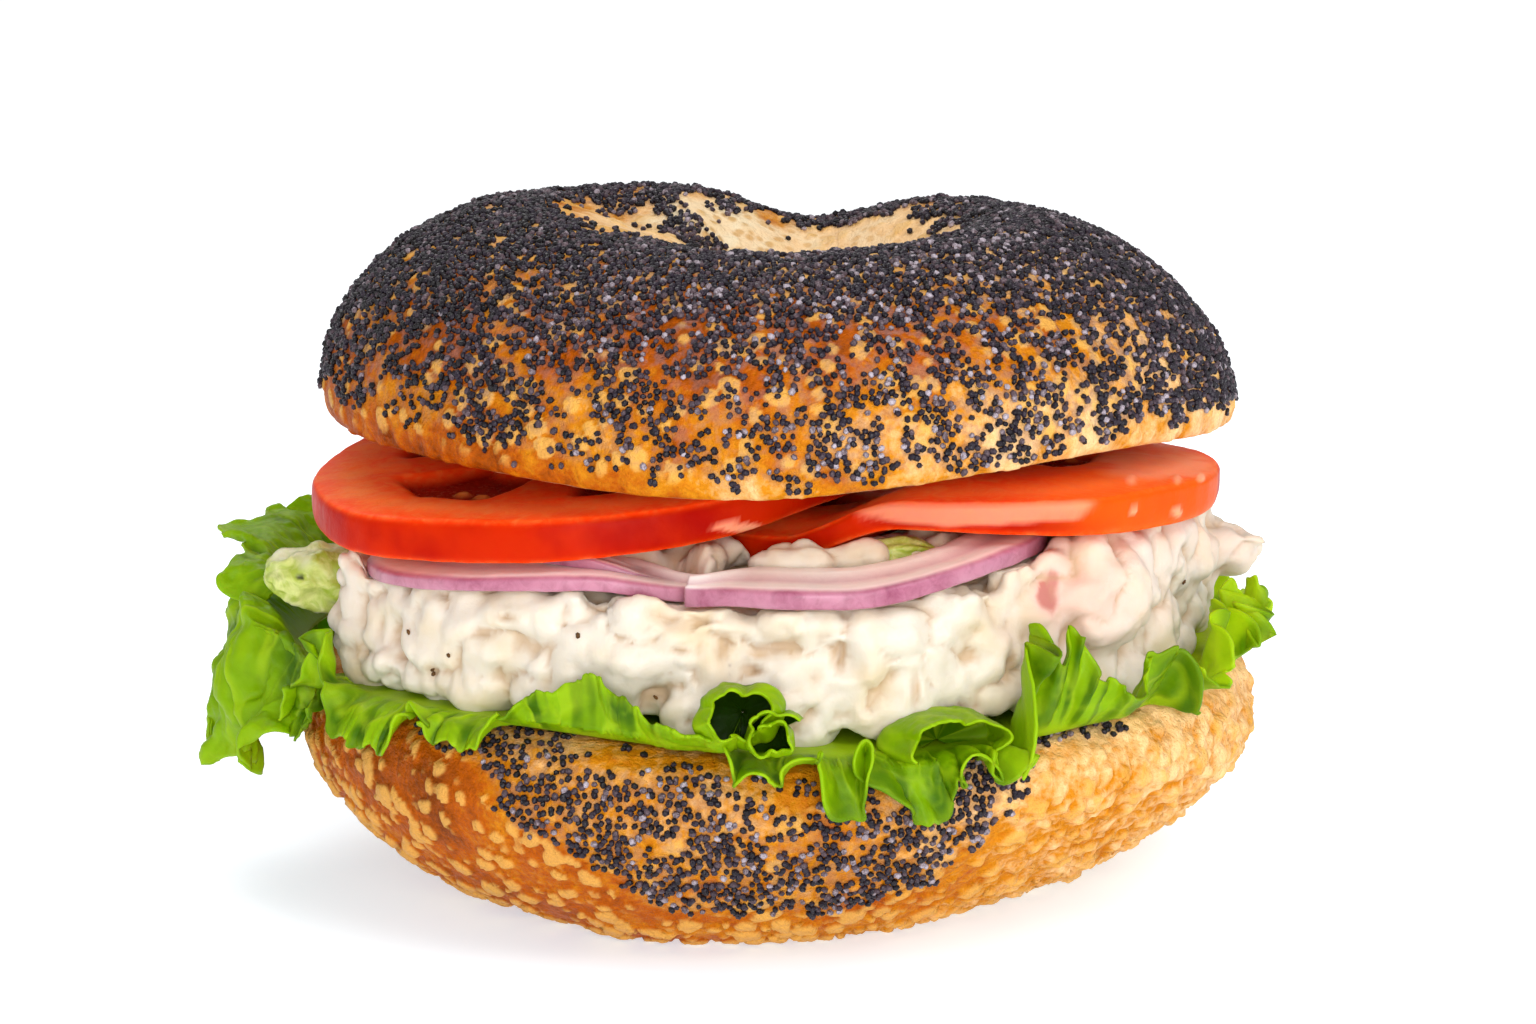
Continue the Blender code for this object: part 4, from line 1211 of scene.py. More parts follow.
@dataclass(frozen=True)
class TomatoFinish(Finish):
    """Ripe tomato: glossy red skin, paler flesh with fine fibres, dark wet gel and pale pips.

    It reads the masks skin, gel, pip and pale, and two of painted light: highlights and light coming through.
    """

    name: str = "tomato"
    skin: Colour = srgb(160, 8, 0)
    warm: Colour = srgb(192, 36, 0)
    flesh: Colour = srgb(255, 66, 4)
    light: Colour = srgb(255, 132, 66)
    gel: Colour = srgb(132, 12, 2)
    pip: Colour = srgb(206, 110, 50)
    # Colour of the painted highlights.
    painted_highlight: Colour = srgb(255, 160, 124)
    orange: Colour = srgb(255, 110, 16)

    def build(self) -> bpy.types.Material:
        """Flesh and skin by mask, with gel and pips, and painted highlights and painted light over them."""
        s = Shader(self.name)
        broad, fine, fibre = s.speckle(9.0, 3.0, 0.5), s.speckle(0.8), s.speckle(2.2, 4.0, 0.6, 1.2)
        flesh = s.mix(fibre.band(0.35, 0.8) * 0.55, self.flesh, self.light)
        skin = s.mix(broad.band(0.3, 0.7), self.skin, self.warm)
        colour = s.mix(s.mask("skin"), flesh, skin)
        # Painted light, as if coming through the flesh.
        colour = s.mix(s.mask("lit"), colour, self.orange)
        colour = s.mix(s.mask("pale") * 0.6, colour, self.light)
        colour = s.mix(s.mask("gel"), colour, self.gel)
        colour = s.mix(s.mask("pip"), colour, self.pip)
        # Painted highlights: on the water drops, and sheen, glare and glint on skin and face.
        colour = s.mix(s.mask("drop_and_highlight") * 0.85, colour, self.painted_highlight)
        rough = 0.3 + fine * 0.16 - s.mask("gel") * 0.12
        normal = s.bump(fine * 0.5 + fibre * 0.5, 0.16, 0.6)
        return s.finish(colour, rough, 0.04, Normal=normal, inside=(0.6, (1.0, 0.2, 0.05), 0.007))


@dataclass
class TomatoSlice:
    """A round slice with a ring of flesh, seed hollows between ribs, and a skin round its edge.

    middle gives the height of its middle layer at x and y. droop lowers the top's edge all round,
    sag lowers the underside at the right front, and brim raises the top's edge at the front.
    """

    name: str
    centre: tuple[float, float]
    radius: float
    thickness: float
    middle: Callable[[Array, Array], Array]
    hollows: int = 5
    turn: float = -140.0
    around: int = 320
    corner: float = 1.1
    droop: float = 0.4
    sag: float = 0.0
    brim: float = 0.0
    hollow_reach: float = 0.74

    def depth(self, x: Array, y: Array) -> Array:
        """How far the underside is below the middle: more at the right front, by the sag."""
        away, turn = polar(x, y, self.centre)
        return self.thickness / 2 + self.sag * lobe(turn, -38, 34) * ease(away / self.radius, 0.55, 1.0)

    def underside(self, x: Array, y: Array) -> Array:
        """Height of the slice's underside, or far above where it doesn't reach."""
        inside = polar(x, y, self.centre)[0] < self.radius + 0.3
        return np.where(inside, self.middle(x, y) - self.depth(x, y) - 0.1, FAR_ABOVE)

    def marks(self, studio: Studio, points: Array, place: Array, side: Array) -> tuple[Array, Array, Array]:
        """What the photograph shows on the two front slices: painted glints and sheen, drops and folds in the
        skin.

        Args:
            studio: The camera.
            points: Places on the slice.
            place: The same, flattened, for the noise.
            side: 1 on the skin and 0 on the faces.

        Returns:
            How strong the painted highlight is at each point, the painted light from behind, and the places,
            moved by the marks.
        """
        normals = grid_normals(points, True, False)
        spot = partial(studio.spot, points, normals)
        left, right = self.name == "tomato_left", self.name == "tomato_right"
        drops = np.zeros(points.shape[:2])
        # Water drops: raised bumps with painted highlights on them.
        for drop_and_highlight in ((1131, 480, 6), (1177, 480, 5), (1200, 478, 5), (1133, 509, 5), (1176, 512, 6)):
            drops = np.maximum(drops, spot(*drop_and_highlight, drop_and_highlight[2]))
        drops = ease(drops, 0.25, 0.7) * right
        uneven = 40 * ripple(place, 5.0, 3, 8)
        # Painted highlights: a reflected soft light along the right skin, glare on its top, a glint on the
        # left slice.
        sheen = 0.8 * ease(spot(975 + uneven, 507 + uneven / 5, 128, 21), 0.32, 0.5) * side * right
        glare = 0.8 * ease(spot(1160 + uneven, 464 + uneven / 3, 56, 13), 0.1, 0.5) * (1 - side) * right
        glint = ease(spot(736, 528 + uneven / 4, 30, 5), 0.3, 0.7) * left
        crease = side * ripple(place * [1, 1, 0.3], 1.7, 3, 44) * 0.3
        streaks = spot(862, 517, 22, 14) * side * (noise(place * [1, 1, 0.1], 1.1, 3) - 0.5)
        painted_highlight = np.maximum.reduce([drops, sheen, glare, glint])
        moved = points + normals * (0.3 * drops + crease + 0.9 * streaks * right)[..., None]
        # Painted light at the right slice's end, as if coming through it.
        lit = 0.5 * ease(studio.spot(moved, normals, 1170, 490, 130, 60), 0.1, 0.7) * right
        return painted_highlight, lit, moved

    def build(self, studio: Studio) -> None:
        """Makes the slice: underside outwards, round the skin and back over the top.

        Args:
            studio: The camera, for the marks that the photograph shows.
        """
        angle = np.linspace(0, FULL_TURN, self.around, endpoint=False)[:, None]
        outline = self.radius * (0.988 + 0.012 * np.cos(5 * angle)) + 0.2 * np.sin(9 * angle + self.turn)
        bend = np.linspace(-math.pi / 2, math.pi / 2, 19)[1:-1]
        rim_out, rim_up = signed_power(np.cos(bend), 0.55), signed_power(np.sin(bend), 0.62)
        under = (outline - self.corner) * np.linspace(0.04, 1, 34)
        over = (outline - self.corner) * np.linspace(1, 0.04, 58)
        r = np.hstack([under, outline - self.corner + self.corner * rim_out, over])
        level = np.hstack([0 * under - 1, rim_up + 0 * angle, 0 * over + 1])
        side = np.hstack([0 * under, rim_out + 0 * angle, 0 * over])
        x, y = self.centre[0] + r * np.cos(angle), self.centre[1] + r * np.sin(angle)
        near = r / outline
        place = stacked(x, y, 3 * level)
        wobble = ripple(place, 8.0, 2, 5) * 0.5
        spoke = self.hollows * (angle - math.radians(self.turn)) / 2
        open_way = ease(np.abs(np.cos(spoke)) + wobble * 0.6, 0.42, 0.72)
        outer = self.hollow_reach
        hollow = open_way * ease(near + wobble * 0.3, 0.3, 0.38)
        hollow = hollow * (1 - ease(near + wobble * 0.2, outer - 0.08, outer)) * (np.abs(level) > 0.98)
        nearest, _, tag = pebbles(place, 4.6, 15)
        pip = (1 - ease(nearest, 0.14, 0.26)) * hollow * (tag > 0.5)
        fibres = ripple(place, 2.6, 3, 33)
        puffed = 0.35 * np.sin(math.pi * np.clip(near, 0, 1)) * (1 - hollow)
        height = self.thickness / 2 + puffed * 0.6 + 0.25 * fibres - 1.15 * hollow + 0.55 * pip
        height = np.where(level > 0.98, height, self.thickness / 2)
        z = self.middle(x, y) + level * np.where(level < 0, self.depth(x, y) - 0.12 * (fibres + 0.5), height)
        z = z - self.droop * ease(near, 0.7, 1.02) * ease(level, -0.2, 1.0)
        z = z + self.brim * lobe(angle, -112, 50) * ease(near, 0.45, 1.0) * ease(level, -0.9, 1.0)
        painted_highlight, lit, points = self.marks(studio, stacked(x, y, z), place, side)
        skin = ease(side, 0.55, 0.95)
        pale = (bell((near - 0.86) / 0.07) * 0.7 + 0.5 * (noise(place, 5.0, 12) > 0.72)) * (1 - skin)
        masks = {"skin": skin, "gel": hollow, "pip": pip, "pale": pale, "drop_and_highlight": painted_highlight, "lit": lit}
        add_piece(self.name + "_slice", capped(points, masks, True), TomatoFinish(), Slot.TOMATO, self.name)


@dataclass(frozen=True)
class OnionFinish(Finish):
    """Red onion: watery white flesh with fine lines, and purple where the skin was.

    It reads the masks skin and blush.
    """

    name: str = "onion"
    flesh: Colour = srgb(250, 234, 228)
    blush: Colour = srgb(236, 184, 200)
    skin: Colour = srgb(174, 104, 130)
    deep: Colour = srgb(136, 60, 90)

    def build(self) -> bpy.types.Material:
        """White flesh that turns pink and purple towards the skin, in streaks."""
        s = Shader(self.name)
        streak, broad = s.speckle(1.6, 4.0, 0.65, 0.6), s.speckle(7.0, 2.0, 0.5)
        colour = s.mix(s.mask("blush") + (streak - 0.5) * 0.3, self.flesh, self.blush)
        skin = s.mix((streak * 0.6 + broad * 0.4).band(0.4, 0.75), self.skin, self.deep)
        colour = s.mix(s.mask("skin") * (0.75 + broad * 0.35), colour, skin)
        rough, normal = 0.22 + streak * 0.2, s.bump(streak, 0.15, 0.5)
        return s.finish(colour, rough, 0.4, Normal=normal, inside=(0.5, (1.0, 0.8, 0.8), 0.005))


@dataclass
class OnionArc:
    """Part of a ring of red onion, of two layers with a groove between them.

    middle gives the height of its middle layer at x and y. layer holds the first and last angle
    of a loose inner layer that lies on the arc's end.
    """

    name: str
    centre: tuple[float, float]
    radius: float
    first: float
    last: float
    middle: Callable[[Array, Array], Array]
    width: float = 8.5
    thickness: float = 2.0
    slope: float = 0.18
    layer: tuple[float, float] | None = None

    def underside(self, x: Array, y: Array) -> Array:
        """Height of the arc's underside, or far above where it doesn't reach.

        Args:
            x: Places to the right.
            y: Places to the back.

        Returns:
            One height for each place.
        """
        away, turn = polar(x, y, self.centre)
        inside = np.abs(away - self.radius + self.width / 2) < self.width / 2 + 0.3
        inside = inside & ((np.degrees(turn) - self.first + 3) % 360 < self.last - self.first + 6)
        return np.where(inside, self.middle(x, y) - self.thickness / 2 - 0.15, FAR_ABOVE)

    def section(self) -> Sheet:
        """The arc's skin: a rounded section carried along it, narrower towards its ends.

        Returns:
            Its points, its masks and its faces.
        """
        degrees = np.linspace(self.first - 2, self.last + 2, 240)[:, None]
        taper = ease(degrees, self.first - 2.5, self.first + 12)
        taper = taper * (1 - ease(degrees, self.last - 12, self.last + 2.5))
        angle = np.radians(degrees)
        turn = np.linspace(-math.pi / 2, 1.5 * math.pi, 72, endpoint=False)
        out, up = signed_power(np.cos(turn), 0.35), signed_power(np.sin(turn), 0.35)
        inset = self.width * (0.5 - 0.5 * out)
        groove = 0.4 * bell((inset - 0.48 * self.width) / 0.5) * (np.abs(up) > 0.9)
        wave = np.sin(angle * 5 + self.radius) * 0.35 + np.sin(angle * 11 + 2) * 0.15
        r = self.radius - (inset * (0.12 + 0.88 * taper)) * (1 + 0.06 * wave) - 0.1 + 0.08 * wave
        x, y = self.centre[0] + r * np.cos(angle), self.centre[1] + r * np.sin(angle)
        half = self.thickness / 2 - groove - 0.25 * ease(inset, 0.5, 4.0) * (inset < 4.1)
        points = stacked(x, y, self.middle(x, y) + self.slope * inset + up * (half + 0.12 * wave))
        points = points + grid_normals(points, False, True) * (0.25 * ripple(points, 3.0, 3, 21))[..., None]
        rib = bell((inset - 0.5 * self.width) / 0.35)
        skin, blush = np.maximum(ease(out, 0.72, 0.96), 0.4 * rib), np.exp(-inset / 1.1) * 0.6 + 0.2 * rib
        return capped(points, {"skin": skin, "blush": blush}, False)

    def build(self) -> None:
        """Makes the arc, and the loose layer on it if it has one."""
        sheets = [self.section()]
        if self.layer:
            def above(x: Array, y: Array) -> Array:
                """Leaning on the arc at its left and sinking to its level at its right."""
                return self.middle(x, y) + 2.3 - 1.9 * ease((x + 26) / 15)

            centre = (self.centre[0] + 3, self.centre[1] - 3.2)
            sheets.append(OnionArc(self.name, centre, 21.5, *self.layer, above, 3.4, 1.5).section())
        add_piece(self.name + "_ring", joined(sheets), OnionFinish(), Slot.ONION, self.name)


@dataclass(frozen=True)
class CeleryFinish(Finish):
    """Dressed celery: pale green, watery, with lengthwise lines and dressing on it.

    It reads the masks dressing and pit, which is painted shade in a dent.
    """

    name: str = "celery"
    green: Colour = srgb(160, 178, 56)
    pale: Colour = srgb(210, 214, 132)
    cream: Colour = srgb(236, 230, 200)
    # Colour of the painted shade in the dent.
    dark: Colour = srgb(38, 44, 12)

    def build(self) -> bpy.types.Material:
        """Green and pale by noise, with cream where the mask dressing is high."""
        s = Shader(self.name)
        streak = s.speckle(2.4, 4.0, 0.6, 1.0)
        colour = s.mix(streak.band(0.35, 0.7), self.green, self.pale)
        colour = s.mix(s.mask("dressing"), colour, self.cream)
        # Near black in the pit: painted shade in the dent.
        colour = s.mix(s.mask("pit"), colour, self.dark)
        rough, normal = 0.25 + streak * 0.2, s.bump(streak, 0.3, 0.7)
        return s.finish(colour, rough, 0.4, Normal=normal, inside=(0.3, (0.8, 1.0, 0.4), 0.002))


@dataclass
class CeleryPiece:
    """A lump of celery: an ellipsoid with ribs and a rough surface.

    pit is the pixel of the photograph at which it has a dent, darkened with painted shade.
    """

    name: str
    centre: tuple[float, float, float]
    half: tuple[float, float, float]
    long_way: tuple[float, float, float]
    up_way: tuple[float, float, float]
    cream: float = 0.2
    pit: tuple[float, float] | None = None

    def build(self, studio: Studio) -> None:
        """Makes the lump from angles round its long axis and along it.

        Args:
            studio: The camera, for the pit's place.
        """
        along = unit(np.array(self.long_way, float))
        up = unit(np.array(self.up_way) - along * np.dot(self.up_way, along))
        axes = np.stack([along, np.cross(up, along), up])
        turn = np.linspace(0, FULL_TURN, 72, endpoint=False)[:, None]
        length = np.linspace(0, math.pi, 46)[1:-1]
        ring = np.sin(length) ** 0.85
        shape = stacked(-np.cos(length), ring * np.cos(turn), ring * np.sin(turn))
        ribs = 1 + 0.05 * np.cos(7 * turn) * ring
        points = np.array(self.centre) + (shape * ribs[..., None]) @ (axes * np.array(self.half)[:, None])
        out = unit((shape / np.array(self.half)) @ axes)
        rough = (noise(points, 5.0, 8) - 0.5) * 4.0 + ripple(points, 2.2, 3, 18) * 2.2
        points = points + out * (rough * min(self.half) / 4.4)[..., None]
        hole = np.zeros(points.shape[:2])
        # A dent at the pit, which the finish darkens as painted shade.
        if self.pit:
            hole = ease(studio.spot(points, out, *self.pit, 5, 3), 0.3, 0.8)
        points = points - out * (0.5 * hole)[..., None]
        masks = {"dressing": ease(cloud(points, 3.5, 2, 14) + self.cream, 0.5, 0.8), "pit": hole}
        add_piece(self.name + "_piece", capped(points, masks, True), CeleryFinish(), Slot.CELERY, self.name)


@dataclass(frozen=True)
class PepperFinish(Finish):
    """Crumbs of ground pepper: brown to black, each with its own shade."""

    name: str = "pepper"
    dark: Colour = srgb(72, 50, 30)
    light: Colour = srgb(146, 104, 62)

    def build(self) -> bpy.types.Material:
        """A shade for each crumb from its mask."""
        s = Shader(self.name)
        return s.finish(s.mix(s.mask("shade"), self.dark, self.light), 0.7, 0.1)


@dataclass(frozen=True)
class SaladFinish(Finish):
    """Chicken salad: glossy cream dressing over pale meat, with painted shade in its creases.

    It reads the masks crease, which is painted shade, pink and meat.
    """

    name: str = "salad"
    cream: Colour = srgb(222, 211, 196)
    warm: Colour = srgb(217, 198, 168)
    # Colour of the painted shade in creases.
    crease: Colour = srgb(190, 154, 112)
    pink: Colour = srgb(228, 188, 172)
    rose: Colour = srgb(192, 122, 112)

    def build(self) -> bpy.types.Material:
        """Cream by noise, with the masks' colours over it."""
        s = Shader(self.name)
        broad, fine = s.speckle(7.0, 3.0, 0.55), s.speckle(1.1, 4.0)
        colour = s.mix(broad.band(0.42, 0.72) * 0.6 + s.mask("meat") * 0.5, self.cream, self.warm)
        colour = s.mix(s.mask("pink") * 0.85, colour, self.pink)
        colour = s.mix((s.mask("pink") - 1.0).band(0.0, 0.8), colour, self.rose)
        # Painted shade in the creases and between the chunks.
        colour = s.mix(s.mask("crease") * 0.85, colour, self.crease)
        rough = 0.3 + fine * 0.2
        normal = s.bump(fine * 0.6 + s.speckle(3.0) * 0.4, 0.22, 0.6)
        return s.finish(colour, rough, 0.2, Normal=normal, inside=(0.35, (1.0, 0.8, 0.55), 0.002))


@dataclass
class ChickenSalad:
    """The mound of salad: its core with many rounded chunks fused on, all under one dressing.

    covers are the slices and arcs that press on it. seen holds the chunks that the photograph
    shows: pixels right and down, half width and half height in pixels, and how far they stand out
    in millimetres. hollows holds the gaps between them, dented and darkened as painted shade, and
    flecks the pepper, in pixels.
    """

    covers: tuple[Any, ...]
    voxel: float = 0.62
    seed: int = 41
    rim_radius: float = 50.5
    pixels_per_mm: float = 8.6
    seen: tuple[tuple[float, ...], ...] = (
        (487, 647, 50, 38, 1.9), (414, 612, 22, 22, 1.4), (378, 608, 17, 14, 1.3), (370, 636, 15, 15, 1.4),
        (350, 640, 10, 22, 0.8), (408, 661, 15, 18, 1.2), (368, 668, 13, 12, 1.0), (539, 614, 18, 11, 1.4),
        (572, 598, 14, 10, 0.9), (604, 649, 26, 20, 1.3), (551, 664, 26, 22, 1.0), (607, 620, 18, 11, 1.0),
        (789, 623, 30, 20, 2.0), (667, 632, 26, 14, 1.4), (707, 669, 29, 17, 1.2), (804, 667, 19, 30, 1.1),
        (872, 672, 44, 50, 1.8), (953, 672, 22, 46, 1.6), (993, 668, 17, 46, 1.0), (821, 703, 22, 15, 1.3),
        (893, 735, 15, 20, 1.2), (1045, 640, 24, 34, 1.2), (1010, 610, 20, 18, 0.9), (640, 668, 20, 22, 0.8),
        (1150, 612, 18, 30, 1.0), (1118, 655, 34, 17, 1.1), (1075, 565, 34, 20, 1.2), (835, 640, 16, 14, 0.9),
        (357, 562, 14, 20, 2.2), (352, 600, 12, 13, 1.8), (1200, 545, 30, 22, 1.6), (1165, 560, 24, 18, 1.0),
        (965, 598, 30, 12, 1.4), (700, 612, 40, 8, 0.6), (712, 628, 26, 17, 1.7), (640, 606, 24, 12, 1.2),
    )
    hollows: tuple[tuple[float, ...], ...] = (
        (759, 653, 13, 7), (755, 671, 8, 4), (653, 697, 11, 7), (431, 670, 5, 4), (358, 650, 3, 11),
        (508, 617, 9, 3), (680, 651, 8, 3), (838, 660, 5, 12), (916, 690, 4, 16), (1012, 662, 5, 16),
        (722, 652, 5, 9),
    )
    flecks: tuple[tuple[float, float], ...] = (
        (409, 632), (430, 669), (433, 675), (407, 680), (655, 697), (445, 563),
    )

    @staticmethod
    def reach(angle: Any) -> Array:
        """How far out the core goes, for each angle."""
        front = lobes(angle, 0, (1.4, -120, 30), (1.2, -75, 25))
        sides = lobes(angle, 0, (2.8, -150, 15), (-1.8, 188, 12), (2, 0, 18))
        return 52.8 + front + sides - lobe(angle, 90, 40)

    @staticmethod
    def core() -> tuple[Array, Whole]:
        """The CAD's own mound, in millimetres from the axis.

        Returns:
            Its points and triangles.
        """
        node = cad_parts["salad"]
        mesh = node.data
        mesh.calc_loop_triangles()
        points = np.empty(len(mesh.vertices) * 3, np.float32)
        mesh.vertices.foreach_get("co", points)
        faces = np.empty(len(mesh.loop_triangles) * 3, np.int32)
        mesh.loop_triangles.foreach_get("vertices", faces)
        turned = np.array(node.matrix_world, float)
        at = points.reshape(-1, 3) @ turned[:3, :3].T + turned[:3, 3]
        return at / MM - AXIS, faces.reshape(-1, 3)

    def chunks(self, studio: Studio, core: Array) -> list[Array]:
        """Chunks on the top, in rows round the side and where the photograph shows them.

        Args:
            studio: The camera, for the chunks that the photograph shows.
            core: The core's points, which tell how high its side goes.

        Returns:
            Seven numbers for each: x, y, z, half length, depth and height, and angle.
        """
        spread = np.random.default_rng(self.seed)
        turns = np.arctan2(core[:, 1], core[:, 0])
        rim = np.hypot(core[:, 0], core[:, 1]) > self.rim_radius
        made: list[Any] = []
        slices = [cover for cover in self.covers if isinstance(cover, TomatoSlice)]
        for ring in range(1, 8):
            for step in range(ring * 6):
                angle = FULL_TURN * (step + spread.uniform(0, 0.8)) / (ring * 6)
                x, y = ring * 6.2 * math.cos(angle), ring * 6.2 * math.sin(angle)
                top = min([48.5] + [float(cover.underside(np.array(x), np.array(y))) for cover in slices])
                size = spread.uniform(0.85, 1.15) * np.array([4.4, 3.8, 2.6])
                made.append([x, y, top - size[2] * spread.uniform(0.7, 1.1), *size, angle])
        for row, (share, count) in enumerate(((0.0, 50), (0.35, 38), (0.66, 40), (0.94, 52))):
            for step in range(count):
                angle = FULL_TURN * (step + 0.5 * (row % 2) + spread.uniform(-0.3, 0.3)) / count
                near = rim & (np.cos(turns - angle) > 0.985)
                low, high = core[near, 2].min(), core[near, 2].max()
                size = spread.uniform(2.4, 5.2) * np.array([1.25, 0.85, 0.95])
                height = low + 1.6 + (high - low - 3.0) * np.clip(share + spread.uniform(-0.1, 0.1), 0, 1)
                out = float(self.reach(angle)) + 0.9 - size[1] * 0.8 + spread.uniform(-0.6, 0.6)
                made.append([*placed(angle, out, height), *size, angle])
        walls = np.meshgrid(np.radians(np.linspace(-175, -5, 680)), np.linspace(26, 52, 208), indexing="ij")
        for right, down, wide, tall, proud in self.seen:
            angle, height = studio.meet(walls, self.reach(walls[0]), right, down)
            half_wide = wide / self.pixels_per_mm / max(0.45, abs(math.sin(angle)))
            half_tall = tall / self.pixels_per_mm
            depth = 0.55 * (half_wide + half_tall)
            out = float(self.reach(angle)) + proud - depth
            made.append([*placed(angle, out, height), half_wide, depth, half_tall, angle])
        made.append([37.5, -36.5, 41, 7.8, 7, 6, math.radians(-44)])
        made.append([53, 2, 40.2, 6.5, 8, 4.4, 0])
        made.append([60, -2, 41.8, 1.3, 3, 1.0, math.radians(-12)])
        return [np.array(chunk, float) for chunk in made]

    def fused(self, studio: Studio) -> tuple[Array, Whole]:
        """The core and the chunks, each a lumpy ball, as one closed skin by the Remesh modifier.

        Args:
            studio: The camera, for the chunks that the photograph shows.

        Returns:
            Points in millimetres and quads.
        """
        core, core_faces = self.core()
        turn = np.linspace(0, FULL_TURN, 18, endpoint=False)[:, None]
        fall = np.linspace(0, math.pi, 12)[1:-1]
        grid = stacked(np.sin(fall) * np.cos(turn), np.sin(fall) * np.sin(turn), -np.cos(fall))
        ball, _, (quads, caps) = capped(grid, {}, True)
        ball[-2:] = [[0, 0, -1], [0, 0, 1]]
        ball_faces = np.concatenate([quads[:, [0, 1, 2]], quads[:, [0, 2, 3]], caps])
        sheets: list[Sheet] = [(core, {}, [core_faces])]
        for chunk in self.chunks(studio, core):
            lumpy = ball * (1 + 0.3 * (noise(ball * 1.4 + chunk[:3], 1.0, 3) - 0.5))[:, None]
            cos, sin = math.cos(chunk[6]), math.sin(chunk[6])
            axes = np.array([[-sin, cos, 0], [cos, sin, 0], [0, 0, 1]]) * chunk[3:6, None]
            sheets.append((chunk[:3] + lumpy @ axes, {}, [ball_faces[:, ::-1]]))
        points, _, faces = joined(sheets)
        raw = add_object("salad_raw", make_mesh("salad_raw", points * MM, [np.concatenate(faces)]))
        fuse = raw.modifiers.new("fuse", "REMESH")
        fuse.mode = "VOXEL"
        fuse.voxel_size = self.voxel * MM
        fused = raw.evaluated_get(bpy.context.evaluated_depsgraph_get()).to_mesh()
        found = np.empty(len(fused.vertices) * 3, np.float32)
        fused.vertices.foreach_get("co", found)
        corners = np.empty(len(fused.loops), np.int32)
        fused.loops.foreach_get("vertex_index", corners)
        quads = corners.reshape(-1, 4).astype(np.int64)
        bpy.data.objects.remove(raw)
        return found.reshape(-1, 3).astype(float) / MM, quads

    def build(self, studio: Studio) -> None:
        """Makes the salad: fused, smoothed, roughened by noise, pressed flat under its covers.

        Args:
            studio: The camera, for the marks that the photograph shows.
        """
        points, faces = self.fused(studio)
        pairs = np.concatenate([faces[:, [k, (k + 1) % 4]] for k in range(4)])
        links = np.bincount(pairs[:, 0], minlength=len(points))[:, None]

        def gathered(at: Whole, values: Array) -> Array:
            """The values' sum at each point."""
            return np.stack([np.bincount(at, column, len(points)) for column in values.T], axis=1)

        def relaxed(values: Array) -> Array:
            """Each point's mean over its neighbours."""
            return gathered(pairs[:, 0], values[pairs[:, 1]]) / links

        for _ in range(2):
            points = 0.4 * points + 0.6 * relaxed(points)
        corners = points[faces]
        facing = np.cross(corners[:, 2] - corners[:, 0], corners[:, 3] - corners[:, 1])
        normals = unit(gathered(faces.ravel(), np.repeat(facing, 4, axis=0)))
        wavy = bent(points, 2.2, 5.0, 91)
        large = np.abs(swing(wavy * [1, 1, 1.05], 5.4, 6))
        small = np.abs(swing(wavy @ TURN.T, 2.3, 7))
        near = pebbles(wavy * [1, 1, 0.9], 3.7, 21)[0]
        curd = np.sqrt(np.clip(1 - (near / 0.85) ** 2, 0, 1))
        lift = 2.2 * (np.sqrt(large + 0.03) - 0.6) + 0.6 * (np.sqrt(small + 0.03) - 0.6) + 1.3 * (curd - 0.7)
        for hollow in self.hollows:
            lift = lift - 1.1 * studio.spot(points, normals, *hollow)
        side = ease(points[:, 2], 30, 33) + ease(np.hypot(points[:, 0], points[:, 1]), 46, 50)
        points = points + normals * (lift * np.clip(side, 0, 1))[:, None]
        lid = np.minimum.reduce([cover.underside(points[:, 0], points[:, 1]) for cover in self.covers])
        pressed = np.maximum(points[:, 2] - lid, 0)[:, None]
        for _ in range(5):
            pressed = np.maximum(pressed, relaxed(pressed))
        broad = points
        for _ in range(14):
            broad = 0.3 * broad + 0.7 * relaxed(broad)
        # Painted shade: darker where the surface lies below its smoothed self, and in the hollows.
        crease = 0.8 * ease(((broad - points) * normals).sum(axis=1), 0.02, 0.65)
        points[:, 2] -= pressed[:, 0]
        spot = partial(studio.spot, points, normals)
        for hollow in self.hollows:
            crease = np.maximum(crease, spot(*hollow))
        blush = partial(studio.spot, bent(points, 5.0, 3.0, 61), normals)
        pink = blush(1085, 600, 58, 44) + 0.4 * blush(1225, 545, 60, 30) + 1.4 * blush(1049, 590, 10, 20)
        pink = pink + 0.5 * ease(cloud(points, 9.0, 2, 77), 0.6, 0.75) * (points[:, 1] > 0)
        masks = {"crease": crease, "pink": pink, "meat": ease(cloud(points, 6.0, 3, 58), 0.5, 0.72)}
        add_piece("chicken_salad", (points, masks, [faces]), SaladFinish(), Slot.SALAD, "salad")
        marks = [spot(right, down, 6, 6).argmax() for right, down in self.flecks]
        rim = np.flatnonzero(np.hypot(points[:, 0], points[:, 1]) > self.rim_radius + 0.5)
        spots = np.append(marks, np.random.default_rng(self.seed).choice(rim, 14))
        pepper = SeedScatter(0.85, 0.6, 0.4, 0.1, 9)
        pepper.sow("pepper", points[spots], normals[spots], PepperFinish(), Slot.SALAD)


# Lettuce


